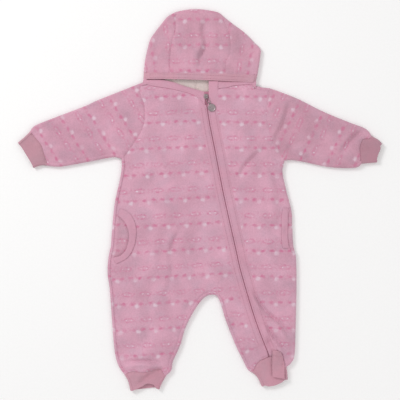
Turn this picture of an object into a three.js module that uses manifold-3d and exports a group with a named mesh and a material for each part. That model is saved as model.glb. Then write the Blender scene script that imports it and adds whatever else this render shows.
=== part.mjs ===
// A hooded one-piece snowsuit for a baby, laid flat on its back with the hood folded forward.
// Millimetres, +Z up. The suit's length lies along Y, its head end at +Y, and it rests on z = 0.
import * as THREE from 'three';
import { mergeVertices } from 'three/addons/utils/BufferGeometryUtils.js';
import Module from 'manifold-3d';

// Cloth and how it lies.
const WALL = 3; // knit outer with its fleece back
const FACING_WALL = 1.4; // the single cloth inside the pockets and of the neck lining
const FACING_HEIGHT = 4.6; // top of the cloth inside the pockets, under the front panels
const BAND_WALL = 1.2; // the pocket bands, laid on the panels
const FLAP_WALL = 2;
const LINING_TOP = 4.8;
const NECK_WALL = 2.4;
const NECK_EDGE_HEIGHT = 7.5;
const SEAM_GAP = 0.3;
const EDGE_HEIGHT = 8; // height of the rolled side edges
const EDGE_RADIUS = EDGE_HEIGHT / 2;
const SIDE_INSET = 6; // how far in from the outline the side seams lie
const FLOOR_INSET = 8; // how far in the rolled edge has come down flat on the floor
const BODY_PUFF = 1.5; // extra height in the middle of the body
const HOOD_PUFF = 2.4;
const PUFF_REACH = 28;
const GRID_STEP = 15; // spacing of the points along and across a panel
const ROLL_STEPS = 5; // faces round a rolled edge

// Zip, bands and metal pull.
const ZIP_SLOT = 2.4; // gap between the two bands, where the chain shows
const CHAIN_WIDTH = 1.8;
const CHAIN_TOP = 7.4;
const CHAIN_HEIGHT = 2;
const LEFT_BAND_WIDTH = 13;
const RIGHT_BAND_WIDTH = 16;
const SLIDER = { x: 10.2, y: 181.5, width: 7.4, length: 7.6, thickness: 1.2, base: 9.7 };
const ARCH = { length: 4.4, width: 1.2, wire: 1, holeHeight: 1.9 };
const LINK = { length: 14, width: 5.6, wire: 0.9 };
const DISC = { radius: 6.9, thickness: 1.4, base: 10 };
const KNUCKLE = { radius: 1.55, hole: 0.95, width: 2.8, offset: 8.6 };
const PULL_TURN = THREE.MathUtils.degToRad(27.6);

// Outline, anticlockwise so that the cloth is always on the left of the path. One row a point.
const LEFT_SIDE = [
  { x: -138, y: 72 }, { x: -137.5, y: 57 }, { x: -140.5, y: 37 }, { x: -149.8, y: -6 },
  { x: -154.7, y: -55 }, { x: -156.5, y: -80 }, { x: -161, y: -103 }, { x: -162.2, y: -130 },
  { x: -158.4, y: -158 }, { x: -154.5, y: -212 }, { x: -151.4, y: -251 }, { x: -148, y: -276 },
  { x: -141.6, y: -294 }, { x: -132.7, y: -306.8 },
];
const CROTCH = [
  { x: -59, y: -308 }, { x: -50.5, y: -299 }, { x: -47.3, y: -283 }, { x: -35.2, y: -256 },
  { x: -26, y: -226 }, { x: -13.5, y: -200 }, { x: 2, y: -177 }, { x: 15, y: -167.5 },
  { x: 29, y: -168 }, { x: 37, y: -184 }, { x: 45.2, y: -211 }, { x: 61.3, y: -252 },
  { x: 76.8, y: -284 }, { x: 84, y: -298 }, { x: 90.1, y: -302 },
];
const RIGHT_SIDE = [
  { x: 151.9, y: -293 }, { x: 160, y: -286 }, { x: 166, y: -272 }, { x: 167.8, y: -227 },
  { x: 169.4, y: -150 }, { x: 168.4, y: -100 }, { x: 164, y: -80 }, { x: 162, y: -44 },
  { x: 160.8, y: -20 }, { x: 152.4, y: 13 }, { x: 145.3, y: 44 }, { x: 145.4, y: 57 },
  { x: 148.3, y: 69 },
];
const RIGHT_SLEEVE_LOWER = [
  { x: 148.3, y: 69 }, { x: 163, y: 70 }, { x: 188, y: 65.6 }, { x: 217, y: 59.2 },
  { x: 246, y: 56.2 }, { x: 274.9, y: 57 }, { x: 283.3, y: 63.5 },
];
const RIGHT_SLEEVE_UPPER = [
  { x: 300.8, y: 112.6 }, { x: 296, y: 120.5 }, { x: 286.5, y: 127.4 }, { x: 260.4, y: 137 },
  { x: 217, y: 155 }, { x: 173.3, y: 176.8 }, { x: 145.8, y: 188 }, { x: 122, y: 196.4 },
];
const RIGHT_SHOULDER = [{ x: 122, y: 196.4 }, { x: 110, y: 197.6 }, { x: 97.5, y: 200.5 }];
const HOOD_RIGHT = [
  { x: 100.6, y: 219.5 }, { x: 103.6, y: 236 }, { x: 105.9, y: 253 }, { x: 106, y: 265 },
  { x: 92, y: 280 }, { x: 77, y: 295 }, { x: 60, y: 307.5 }, { x: 42, y: 321.5 },
];
const HOOD_TOP = [
  { x: 42, y: 321.5 }, { x: 30.3, y: 330 }, { x: -0.5, y: 335 }, { x: -24.5, y: 334 }, { x: -42.7, y: 330 },
];
const HOOD_LEFT = [
  { x: -42.7, y: 330 }, { x: -57, y: 322 }, { x: -70.2, y: 306 }, { x: -79.5, y: 294 },
  { x: -88.4, y: 279 }, { x: -96, y: 248 }, { x: -98.7, y: 224.3 },
];
const LEFT_SHOULDER = [{ x: -99.6, y: 207 }, { x: -103.4, y: 205.6 }, { x: -107, y: 204 }];
const LEFT_SLEEVE_UPPER = [
  { x: -107, y: 204 }, { x: -140, y: 191 }, { x: -182.5, y: 174 }, { x: -203, y: 164.5 },
  { x: -259.5, y: 143 }, { x: -290, y: 130.5 }, { x: -298.6, y: 120 },
];
const LEFT_SLEEVE_LOWER = [
  { x: -269, y: 60 }, { x: -244, y: 58.8 }, { x: -195.3, y: 67.2 }, { x: -153, y: 75 }, { x: -138, y: 72 },
];

// Seams, one row a point.
const LEFT_ARMHOLE = [
  { x: -104, y: 184 }, { x: -97.6, y: 167 }, { x: -97, y: 140 }, { x: -104, y: 118 }, { x: -118, y: 96 },
];
const RIGHT_ARMHOLE = [
  { x: 120.4, y: 180 }, { x: 117, y: 157 }, { x: 119.5, y: 130 }, { x: 127, y: 107 }, { x: 137, y: 90 },
];
const LEFT_NECK = [
  { x: -92, y: 203.6 }, { x: -77, y: 200 }, { x: -41.8, y: 194 }, { x: -8.8, y: 184 }, { x: 8.6, y: 167.3 },
];
const LEFT_NECK_EDGE = [
  { x: -92, y: 211 }, { x: -69, y: 211 }, { x: -46.6, y: 206.5 }, { x: -27.7, y: 200 }, { x: 8.6, y: 189.5 },
];
const RIGHT_NECK = [{ x: 31.9, y: 195.5 }, { x: 49.4, y: 198 }, { x: 60.2, y: 201 }, { x: 91, y: 203.5 }];
const HOOD_SEAM_LEFT = [
  { x: -51.6, y: 223 }, { x: -52.4, y: 247 }, { x: -49.5, y: 276 }, { x: -43, y: 298 }, { x: -42.6, y: 318 },
];
const HOOD_SEAM_RIGHT = [
  { x: 44.5, y: 221.6 }, { x: 46, y: 243 }, { x: 52.4, y: 256 }, { x: 53, y: 284 }, { x: 46.6, y: 304 },
];
const HOOD_BAND_UPPER = [
  { x: -98.7, y: 224 }, { x: -51.6, y: 222.7 }, { x: 44.5, y: 221.3 }, { x: 100.6, y: 219.2 },
];
const HOOD_BAND_LOWER = [
  { x: -99.2, y: 212 }, { x: -51, y: 211.8 }, { x: 17, y: 209.5 }, { x: 97.6, y: 206 },
];
const ZIP = [
  { x: 12, y: 165 }, { x: 16.6, y: 135 }, { x: 25.2, y: 92 }, { x: 40, y: 16 }, { x: 49.4, y: -27.5 },
  { x: 62.5, y: -85.4 }, { x: 72.6, y: -129 }, { x: 97, y: -210 }, { x: 118.3, y: -266 },
];
const LEFT_BAND_TOP = { x: -3.4, y: 178.4 };
const LEFT_BAND_END = [{ x: 108 }, { x: 119 }];
const RIGHT_BAND_TOP = [
  { y: 208.6, inner: 15.2, outer: 31.8 }, { y: 195.6, inner: 15.2, outer: 31.5 },
  { y: 187, inner: 15.2, outer: 31 }, { y: 177, inner: 15, outer: 30.3 },
];
const RIGHT_BAND_END = [{ x: 121.8 }, { x: 138 }];
const LEFT_ANKLE_SEAM = [
  { x: -118, y: -300.5 }, { x: -99, y: -302 }, { x: -85.8, y: -299 }, { x: -70, y: -296 },
];
const RIGHT_ANKLE_SEAM = [
  { x: 102, y: -284 }, { x: 119, y: -274.4 }, { x: 134, y: -273.6 }, { x: 144, y: -277 },
];
const BACK_NECK = [{ x: -90.8, y: 205.6 }, { x: 92, y: 200.4 }];

// Cuffs: the outline of each from the seam to its end, and the shape of its end.
const LEFT_ANKLE_OUTER = [{ x: -132.7, y: -306.8 }, { x: -126.4, y: -318 }, { x: -122, y: -335.2 }];
const LEFT_ANKLE_INNER = [{ x: -71.5, y: -332.5 }, { x: -66, y: -320 }, { x: -59, y: -308 }];
const LEFT_ANKLE_END = [{ x: -105, y: -328.5 }, { x: -93, y: -322 }, { x: -82, y: -324 }];
const RIGHT_ANKLE_INNER = [{ x: 90.1, y: -302 }, { x: 100.4, y: -311 }, { x: 108.5, y: -327.5 }];
const RIGHT_ANKLE_OUTER = [{ x: 154.2, y: -315 }, { x: 153.5, y: -305 }, { x: 151.9, y: -293 }];
const RIGHT_ANKLE_END = [{ x: 121, y: -326.8 }, { x: 133, y: -324.5 }, { x: 144, y: -319.5 }];
const LEFT_WRIST_UPPER = [{ x: -298.6, y: 120 }, { x: -309, y: 110 }, { x: -319.9, y: 100.8 }];
const LEFT_WRIST_LOWER = [{ x: -292.3, y: 56.2 }, { x: -280, y: 60.6 }, { x: -269, y: 60 }];
const LEFT_WRIST_END = [{ x: -312, y: 91.2 }, { x: -305.4, y: 80.6 }, { x: -299, y: 70 }];
const LEFT_WRIST_SEAM = [{ x: -286.5, y: 107 }, { x: -277.6, y: 95 }, { x: -273, y: 80 }];
const RIGHT_WRIST_LOWER = [{ x: 283.3, y: 63.5 }, { x: 297, y: 64.8 }, { x: 310.6, y: 65.8 }];
const RIGHT_WRIST_UPPER = [{ x: 319.9, y: 98.9 }, { x: 313, y: 106 }, { x: 300.8, y: 112.6 }];
const RIGHT_WRIST_END = [{ x: 316.6, y: 90 }, { x: 312.4, y: 80 }];
const RIGHT_WRIST_SEAM = [{ x: 281, y: 78 }, { x: 280, y: 91 }, { x: 285, y: 106 }];
const FLAP_LEFT = [{ x: 127, y: -262 }, { x: 126.3, y: -285 }, { x: 126.6, y: -309 }];
const FLAP_RIGHT = [{ x: 141, y: -266 }, { x: 147, y: -285 }, { x: 148.2, y: -313 }];

// Pockets: the slanted opening, and how far the band reaches from it onto the panel.
const LEFT_POCKET = [
  { x: -143, y: -27 }, { x: -132, y: -38 }, { x: -126.3, y: -52 }, { x: -125.7, y: -67 },
  { x: -130, y: -85 }, { x: -139.8, y: -96 }, { x: -152, y: -101 },
];
const LEFT_POCKET_BAND = [
  { x: -140, y: -15 }, { x: -125, y: -22 }, { x: -114, y: -40 }, { x: -112.2, y: -62 },
  { x: -117, y: -84 }, { x: -128, y: -101 }, { x: -147, y: -111.5 },
];
const RIGHT_POCKET = [
  { x: 166, y: -10 }, { x: 156, y: -19 }, { x: 154, y: -45 }, { x: 154, y: -68 },
  { x: 157, y: -83 }, { x: 172, y: -93 },
];
const RIGHT_POCKET_BAND = [
  { inner: 154, outer: 146, y: -14 }, { inner: 153.4, outer: 143.6, y: -30 },
  { inner: 153.2, outer: 143, y: -50 },
  { inner: 153.2, outer: 143, y: -68 }, { inner: 155.4, outer: 145, y: -84 },
];
const POCKET_TRIM = 13; // the right pocket's inside ends this far short of its tips

// Largest folds: a row is a soft trough (depth below 0) or ridge from (x0, y0) to (x1, y1).
const BODY_FOLDS = [
  { x0: 109, y0: 86, x1: 72, y1: 46, width: 7, depth: -1.3 },
  { x0: 152, y0: 172, x1: 136, y1: 118, width: 6, depth: -1.4 },
  { x0: 278, y0: 126, x1: 254, y1: 88, width: 6, depth: -1.4 },
  { x0: 88, y0: -150, x1: 122, y1: -210, width: 7, depth: -1.3 },
  { x0: 116, y0: -190, x1: 144, y1: -232, width: 6, depth: -1.4 },
  { x0: 112, y0: -222, x1: 136, y1: -262, width: 6, depth: -1.2 },
  { x0: 124, y0: -206, x1: 150, y1: -250, width: 8, depth: 1.6 },
  { x0: -40, y0: -8, x1: -55, y1: -96, width: 9, depth: -1.3 },
  { x0: -64, y0: -90, x1: -92, y1: -240, width: 11, depth: -1.1 },
  { x0: -74, y0: -40, x1: -76, y1: -110, width: 12, depth: 1.2 },
  { x0: 6, y0: -62, x1: 10, y1: -118, width: 13, depth: -1 },
  { x0: 130, y0: 40, x1: 140, y1: -30, width: 9, depth: -1.1 },
  { x0: 118, y0: -60, x1: 128, y1: -112, width: 9, depth: 1.3 },
  { x0: -64, y0: 64, x1: -34, y1: 50, width: 8, depth: -0.8 },
  { x0: -40, y0: 24, x1: 8, y1: 6, width: 10, depth: -0.9 },
  { x0: -200, y0: 120, x1: -150, y1: 100, width: 11, depth: -0.9 },
  { x0: 180, y0: 150, x1: 230, y1: 100, width: 12, depth: 1.2 },
];
const HOOD_FOLDS = [
  { x0: 12, y0: 312, x1: 6, y1: 282, width: 8, depth: -1.3 },
  { x0: 6, y0: 282, x1: 0, y1: 244, width: 6, depth: -1.8 },
  { x0: 24, y0: 300, x1: 20, y1: 240, width: 11, depth: 1.1 },
  { x0: 72, y0: 288, x1: 92, y1: 240, width: 10, depth: -1 },
];

const vector = ({ x, y }) => new THREE.Vector2(x, y);
const spline = (rows) => new THREE.SplineCurve(rows.map(vector));
const lengthOf = (points) => points.slice(1).reduce((sum, p, i) => sum + p.distanceTo(points[i]), 0);

// Evenly spaced points along a smooth path through the rows.
function along(rows, count) {
  return spline(rows).getSpacedPoints(count);
}

// How many grid steps a path is long.
function stepsFor(rows) {
  return Math.max(2, Math.round(spline(rows).getLength() / GRID_STEP));
}

function leftNormals(points) {
  return points.map((_, i) => {
    const before = points[Math.max(0, i - 1)];
    const after = points[Math.min(points.length - 1, i + 1)];
    const step = after.clone().sub(before).normalize();
    return new THREE.Vector2(-step.y, step.x);
  });
}

function shifted(points, distance) {
  const normals = leftNormals(points);
  return points.map((p, i) => p.clone().addScaledVector(normals[i], distance));
}

// The direction along a seam, stretched so that one step of it goes one step in from the outline.
function slantedTo(normal, direction) {
  const unit = direction.clone().normalize();
  return unit.divideScalar(unit.dot(normal));
}

// A stretch of the outline: its points, and at each the direction inwards.
function outlineOf(rows, count = stepsFor(rows)) {
  const points = along(rows, count);
  return { points, inward: leftNormals(points) };
}

// Two stretches that meet at a seam share its plane there, and part by half the seam gap each.
function join(first, second, direction) {
  const both = first.inward.at(-1).clone().add(second.inward[0]);
  const middle = both.divideScalar(2);
  const shared = direction ? slantedTo(middle, direction) : middle.divideScalar(middle.lengthSq());
  first.inward[first.inward.length - 1] = shared;
  second.inward[0] = shared;
}

function parted({ points, inward }) {
  const pull = (end, next) => end.clone().add(next.clone().sub(end).setLength(SEAM_GAP * 0.6));
  const moved = points.map((p) => p.clone());
  moved[0] = pull(points[0], points[1]);
  moved[moved.length - 1] = pull(points.at(-1), points.at(-2));
  return { points: moved, inward };
}

const insetOf = ({ points, inward }, inset) => (
  points.map((p, i) => p.clone().addScaledVector(inward[i], inset))
);

function distanceToSegment(x, y, { x0, y0, x1, y1 }) {
  const dx = x1 - x0;
  const dy = y1 - y0;
  const square = dx * dx + dy * dy || 1;
  const share = THREE.MathUtils.clamp(((x - x0) * dx + (y - y0) * dy) / square, 0, 1);
  return Math.hypot(x - x0 - share * dx, y - y0 - share * dy);
}

function distanceToLoop(x, y, loop) {
  let nearest = Infinity;
  loop.forEach((p, i) => {
    const q = loop[(i + 1) % loop.length];
    const segment = { x0: p.x, y0: p.y, x1: q.x, y1: q.y };
    nearest = Math.min(nearest, distanceToSegment(x, y, segment));
  });
  return nearest;
}

// Height of the upper surface: low at the outline, fuller inside, with the folds laid over that.
function surfaceHeight(x, y, loop, puff, folds) {
  const inside = Math.max(0, distanceToLoop(x, y, loop) - SIDE_INSET);
  const settled = 1 - Math.exp(-inside / PUFF_REACH);
  let height = EDGE_HEIGHT + puff * settled;
  for (const fold of folds) {
    const away = distanceToSegment(x, y, fold) / fold.width;
    height += fold.depth * Math.exp(-away * away) * Math.min(1, inside / fold.width);
  }
  return height;
}

// A sheet of cloth: paired outer and inner points, joined into one closed wall.
class Sheet {
  constructor() {
    this.points = [];
    this.faces = [];
  }

  point(pair) {
    const found = this.points.findIndex(({ outer }) => outer.distanceToSquared(pair.outer) < 1e-6);
    return found >= 0 ? found : this.points.push(pair) - 1;
  }

  face(a, b, c) {
    if (a !== b && b !== c && c !== a) this.faces.push([a, b, c]);
  }

  // Rows of pairs. Seen from outside, the rows run along and each row goes from right to left.
  grid(rows) {
    const ids = rows.map((row) => row.map((pair) => this.point(pair)));
    for (let i = 0; i + 1 < ids.length; i += 1) {
      for (let j = 0; j + 1 < ids[i].length; j += 1) {
        this.face(ids[i][j], ids[i + 1][j], ids[i + 1][j + 1]);
        this.face(ids[i][j], ids[i + 1][j + 1], ids[i][j + 1]);
      }
    }
    return this;
  }

  // A flat underside inside an anticlockwise loop of pairs on the floor.
  floor(loop) {
    const ids = loop.map((pair) => this.point(pair));
    const flat = loop.map(({ outer }) => new THREE.Vector2(outer.x, outer.y));
    for (const [a, b, c] of THREE.ShapeUtils.triangulateShape(flat, [])) {
      const turn = flat[b].clone().sub(flat[a]).cross(flat[c].clone().sub(flat[a]));
      if (turn > 0) this.face(ids[a], ids[c], ids[b]);
      else this.face(ids[a], ids[b], ids[c]);
    }
    return this;
  }

  geometry() {
    const count = this.points.length;
    const index = [];
    const edges = new Map();
    for (const [a, b, c] of this.faces) {
      index.push(a, b, c, a + count, c + count, b + count);
      for (const [from, to] of [[a, b], [b, c], [c, a]]) edges.set(`${from} ${to}`, [from, to]);
    }
    for (const [from, to] of edges.values()) {
      if (!edges.has(`${to} ${from}`)) index.push(from, from + count, to + count, from, to + count, to);
    }
    const all = [...this.points.map((p) => p.outer), ...this.points.map((p) => p.inner)];
    const geometry = new THREE.BufferGeometry().setFromPoints(all);
    geometry.setIndex(index);
    return geometry;
  }
}

const pairAt = (p, z, wall) => ({
  outer: new THREE.Vector3(p.x, p.y, z),
  inner: new THREE.Vector3(p.x, p.y, z - wall),
});
const floorPair = (p) => pairAt(p, 0, -WALL);

function resampled(points, count) {
  const path = new THREE.CurvePath();
  points.slice(1).forEach((p, i) => path.add(new THREE.LineCurve(points[i], p)));
  return path.getSpacedPoints(count);
}

// A patch between four edges: left and right run down it, top and bottom run across it.
function patch({ top, bottom, left, right }) {
  const down = left.length - 1;
  const across = top.length - 1;
  const total = lengthOf(bottom) || lengthOf(top);
  const measured = lengthOf(bottom) ? bottom : top;
  const shares = measured.map((_, j) => lengthOf(measured.slice(0, j + 1)) / total);
  return left.map((_, i) => top.map((__, j) => {
    if (i === 0) return top[j].clone();
    if (i === down) return bottom[j].clone();
    if (j === 0) return left[i].clone();
    if (j === across) return right[i].clone();
    const u = shares[j];
    const v = i / down;
    const point = new THREE.Vector2();
    point.addScaledVector(top[j], 1 - v).addScaledVector(bottom[j], v);
    point.addScaledVector(left[i], 1 - u).addScaledVector(right[i], u);
    point.addScaledVector(top[0], -(1 - u) * (1 - v)).addScaledVector(top[across], -u * (1 - v));
    point.addScaledVector(bottom[0], -(1 - u) * v).addScaledVector(bottom[across], -u * v);
    return point;
  }));
}

const raised = (rows, height, wall = WALL) => (
  rows.map((row) => row.map((p) => pairAt(p, height(p.x, p.y), wall)))
);

const ROLL = { top: SIDE_INSET, under: FLOOR_INSET, radius: EDGE_RADIUS, wall: WALL };

// Sections of a rolled edge, from under the cloth, round the outline and up to the seam on top.
function rolledEdge({ points, inward }, height, { top, under, radius, wall } = ROLL) {
  return points.map((p, i) => {
    const at = (inset) => p.clone().addScaledVector(inward[i], inset);
    const section = [pairAt(at(under), 0, -wall)];
    for (let step = 0; step <= ROLL_STEPS; step += 1) {
      const angle = Math.PI * (step / ROLL_STEPS - 0.5);
      const turn = (reach) => {
        const spot = at(radius - reach * Math.cos(angle));
        return new THREE.Vector3(spot.x, spot.y, radius + reach * Math.sin(angle));
      };
      section.push({ outer: turn(radius), inner: turn(radius - wall) });
    }
    const seam = at(top);
    section.push(pairAt(seam, height(seam.x, seam.y), wall));
    return section;
  });
}

const innerPoints = (points) => points.slice(1, -1);
const HALF_GAP = SEAM_GAP / 2;
const flatten = ({ outer }) => new THREE.Vector2(outer.x, outer.y);
const seamOf = (rows) => rows.map((row) => flatten(row.at(-1)));
const floorOf = (rows) => rows.map((row) => row[0]);
const reversed = (list) => [...list].reverse();
const straight = (from, to, count) => (
  Array.from({ length: count + 1 }, (_, i) => from.clone().lerp(to, i / count))
);
const BAND_ROWS = [0, 0.5, 1]; // a narrow band's rows: one edge, its middle, the other edge

const COLOR = { print: 0xd0a0b4, plain: 0xc99aaa, rib: 0xbf8f9f, lining: 0xd9d0cd, metal: 0x9a9a9e };
const CLOTH_ROUGHNESS = 0.92;
const METAL_ROUGHNESS = 0.3;

function meshOf(name, geometry, settings) {
  const mesh = new THREE.Mesh(geometry, new THREE.MeshStandardMaterial(settings));
  mesh.name = name;
  return mesh;
}

function clothMesh(name, cloth, color) {
  const geometry = cloth instanceof Sheet ? cloth.geometry() : cloth;
  return meshOf(name, geometry, { color, roughness: CLOTH_ROUGHNESS, side: THREE.DoubleSide });
}

// Every stretch of the outline, in order round the suit.
const edge = {
  leftSide: outlineOf(LEFT_SIDE, 27),
  leftAnkleOuter: outlineOf(LEFT_ANKLE_OUTER, 3),
  leftAnkleInner: outlineOf(LEFT_ANKLE_INNER, 3),
  crotch: outlineOf(CROTCH, 22),
  rightAnkleInner: outlineOf(RIGHT_ANKLE_INNER, 3),
  rightAnkleOuter: outlineOf(RIGHT_ANKLE_OUTER, 3),
  rightSide: outlineOf(RIGHT_SIDE),
  rightSleeveLower: outlineOf(RIGHT_SLEEVE_LOWER, 11),
  rightWristLower: outlineOf(RIGHT_WRIST_LOWER, 2),
  rightWristUpper: outlineOf(RIGHT_WRIST_UPPER, 2),
  rightSleeveUpper: outlineOf(RIGHT_SLEEVE_UPPER, 11),
  rightShoulder: outlineOf(RIGHT_SHOULDER, 2),
  hoodRight: outlineOf(HOOD_RIGHT, 10),
  hoodTop: outlineOf(HOOD_TOP, 7),
  hoodLeft: outlineOf(HOOD_LEFT, 10),
  leftShoulder: outlineOf(LEFT_SHOULDER, 2),
  leftSleeveUpper: outlineOf(LEFT_SLEEVE_UPPER, 11),
  leftWristUpper: outlineOf(LEFT_WRIST_UPPER, 2),
  leftWristLower: outlineOf(LEFT_WRIST_LOWER, 2),
  leftSleeveLower: outlineOf(LEFT_SLEEVE_LOWER, 11),
};
const seamDown = (rows) => new THREE.Vector2(0, rows[0].y - rows.at(-1).y).normalize();
join(edge.leftSide, edge.leftAnkleOuter);
join(edge.leftAnkleInner, edge.crotch);
join(edge.crotch, edge.rightAnkleInner);
join(edge.rightAnkleOuter, edge.rightSide);
join(edge.rightSide, edge.rightSleeveLower);
join(edge.rightSleeveLower, edge.rightWristLower);
join(edge.rightWristUpper, edge.rightSleeveUpper);
join(edge.rightSleeveUpper, edge.rightShoulder);
join(edge.hoodRight, edge.hoodTop, seamDown(HOOD_SEAM_RIGHT));
join(edge.hoodTop, edge.hoodLeft, seamDown(HOOD_SEAM_LEFT));
join(edge.leftShoulder, edge.leftSleeveUpper);
join(edge.leftSleeveUpper, edge.leftWristUpper);
join(edge.leftWristLower, edge.leftSleeveLower);
join(edge.leftSleeveLower, edge.leftSide);
const wholeLoop = Object.values(edge).flatMap(({ points }) => points);
const hoodStretches = [edge.hoodRight, edge.hoodTop, edge.hoodLeft].flatMap(({ points }) => points);
const BELOW_HOOD = [{ x: -99, y: 100 }, { x: 98, y: 100 }]; // keeps the hood's height even down to its band
const hoodLoop = [...hoodStretches, ...BELOW_HOOD.map(vector)];
const bodyHeight = (x, y) => surfaceHeight(x, y, wholeLoop, BODY_PUFF, BODY_FOLDS);
const hoodHeight = (x, y) => surfaceHeight(x, y, hoodLoop, HOOD_PUFF, HOOD_FOLDS);

// Armhole seams, from the shoulder down to the armpit.
const joinPoint = ({ points, inward }, at) => (
  points.at(at).clone().addScaledVector(inward.at(at), SIDE_INSET)
);
const seamThrough = (from, rows, to, count) => along([from, ...rows, to], count);
const ARMHOLE_STEPS = 8;
const LEG_STEPS = 9; // columns across a leg
const leftArmhole = seamThrough(
  joinPoint(edge.leftShoulder, -1), LEFT_ARMHOLE, joinPoint(edge.leftSide, 0), ARMHOLE_STEPS,
);
const rightArmhole = seamThrough(
  joinPoint(edge.rightShoulder, 0), RIGHT_ARMHOLE, joinPoint(edge.rightSide, -1), ARMHOLE_STEPS,
);

// Cuff seams, from the left of the tube to its right as it runs down to the hand or foot.
const cuffSeam = (first, rows, second, steps) => (
  seamThrough(joinPoint(first, -1), rows, joinPoint(second, 0), steps)
);
const wristSeam = (first, rows, second) => cuffSeam(first, rows, second, ARMHOLE_STEPS);
const leftWristSeam = wristSeam(edge.leftSleeveUpper, LEFT_WRIST_SEAM, edge.leftSleeveLower);
const rightWristSeam = wristSeam(edge.rightSleeveLower, RIGHT_WRIST_SEAM, edge.rightSleeveUpper);
const leftAnkleSeam = cuffSeam(edge.leftSide, LEFT_ANKLE_SEAM, edge.crotch, LEG_STEPS);
const rightAnkleSeam = cuffSeam(edge.crotch, RIGHT_ANKLE_SEAM, edge.rightSide, LEG_STEPS);

// The height in Y of a path at a given X, and the panel points just above it.
function yAt(path, x) {
  const after = Math.max(1, path.findIndex((p) => p.x > x));
  const [p, q] = [path[after - 1], path[after]];
  return THREE.MathUtils.mapLinear(x, p.x, q.x, p.y, q.y);
}
const above = (path, points, gap = SEAM_GAP) => (
  points.map(({ x }) => new THREE.Vector2(x, yAt(path, x) + gap))
);

// A flattened tube from its start seam to its end: a front, two rolled edges and a back on the floor.
// first runs from start to end and second back again, both anticlockwise.
function flatTube({ first, second, start, end, backStart = start, height, slit }) {
  const sheet = new Sheet();
  const firstRows = rolledEdge(parted(first), height);
  const secondRows = rolledEdge(parted(second), height);
  const seamInset = (name) => (slit === name ? SIDE_INSET + SEAM_GAP : SIDE_INSET);
  const left = insetOf(parted(first), seamInset('first'));
  const right = reversed(insetOf(parted(second), seamInset('second')));
  const across = start.length + 1;
  const top = [left[0], ...start, right[0]];
  const endPath = resampled([left.at(-1), ...end, right.at(-1)], across);
  const bottom = [left.at(-1), ...innerPoints(endPath), right.at(-1)];
  sheet.grid(firstRows).grid(secondRows);
  sheet.grid(raised(patch({ top, bottom, left, right }), height));
  sheet.floor([...floorOf(firstRows), ...floorOf(secondRows), ...reversed(backStart).map(floorPair)]);
  return sheet;
}

function sleeveLeft() {
  return flatTube({
    first: edge.leftSleeveUpper,
    second: edge.leftSleeveLower,
    start: innerPoints(shifted(leftArmhole, -HALF_GAP)),
    end: innerPoints(shifted(leftWristSeam, HALF_GAP)),
    height: bodyHeight,
    slit: 'second',
  });
}

function sleeveRight() {
  return flatTube({
    first: edge.rightSleeveLower,
    second: edge.rightSleeveUpper,
    start: innerPoints(reversed(shifted(rightArmhole, HALF_GAP))),
    end: innerPoints(shifted(rightWristSeam, HALF_GAP)),
    height: bodyHeight,
    slit: 'first',
  });
}

function cuff({ first, second, seam, end, gap = HALF_GAP }) {
  const start = innerPoints(shifted(seam, -gap));
  return flatTube({ first, second, start, end: end.map(vector), backStart: [], height: bodyHeight });
}

// The back lies flat, and rolls over the left side, the inner legs and the shoulders.
function back() {
  const sheet = new Sheet();
  const side = rolledEdge(parted(edge.leftSide), bodyHeight);
  const crotch = rolledEdge(parted(edge.crotch), bodyHeight);
  const rightShoulder = rolledEdge(parted(edge.rightShoulder), bodyHeight);
  const leftShoulder = rolledEdge(parted(edge.leftShoulder), bodyHeight);
  const rightSeam = insetOf(parted(edge.rightSide), FLOOR_INSET + SEAM_GAP).map(floorPair);
  const rightArm = innerPoints(reversed(shifted(rightArmhole, -HALF_GAP))).map(floorPair);
  const leftArm = innerPoints(shifted(leftArmhole, HALF_GAP)).map(floorPair);
  const neck = reversed(BACK_NECK).map(({ x, y }) => floorPair({ x, y: y - HALF_GAP }));
  [side, crotch, rightShoulder, leftShoulder].forEach((rows) => sheet.grid(rows));
  return sheet.floor([
    ...floorOf(side), ...floorOf(crotch), ...rightSeam, ...rightArm,
    ...floorOf(rightShoulder), ...neck, ...floorOf(leftShoulder), ...leftArm,
  ]);
}

// The zip's path and the panels' edges beside its two bands.
const ZIP_STEPS = 30;
const zipPath = along(ZIP, ZIP_STEPS);
const beside = (distance) => shifted(zipPath, distance);
const rightBandTop = (side) => RIGHT_BAND_TOP.map((row) => new THREE.Vector2(row[side], row.y));
const aboveAnkle = (points) => above(rightAnkleSeam, points, 4 * SEAM_GAP);
const [leftEnds, rightEnds] = [aboveAnkle(LEFT_BAND_END), aboveAnkle(RIGHT_BAND_END)];
const leftOfBand = beside(-ZIP_SLOT / 2 - LEFT_BAND_WIDTH).slice(1);
const leftBandOuter = [vector(LEFT_BAND_TOP), ...leftOfBand, leftEnds[0]];
const leftBandInner = [...beside(-ZIP_SLOT / 2), leftEnds[1]];
const rightBandInner = [...rightBandTop('inner'), ...beside(ZIP_SLOT / 2), rightEnds[0]];
const rightOfBand = beside(ZIP_SLOT / 2 + RIGHT_BAND_WIDTH);
const rightBandOuter = [...rightBandTop('outer'), ...rightOfBand, rightEnds[1]];

function bandBetween(outer, inner) {
  const rows = outer.map((p, i) => BAND_ROWS.map((share) => p.clone().lerp(inner[i], share)));
  return new Sheet().grid(raised(rows, bodyHeight));
}

const NECK_STEPS = 9;
const RIGHT_NECK_STEPS = 5;

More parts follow.
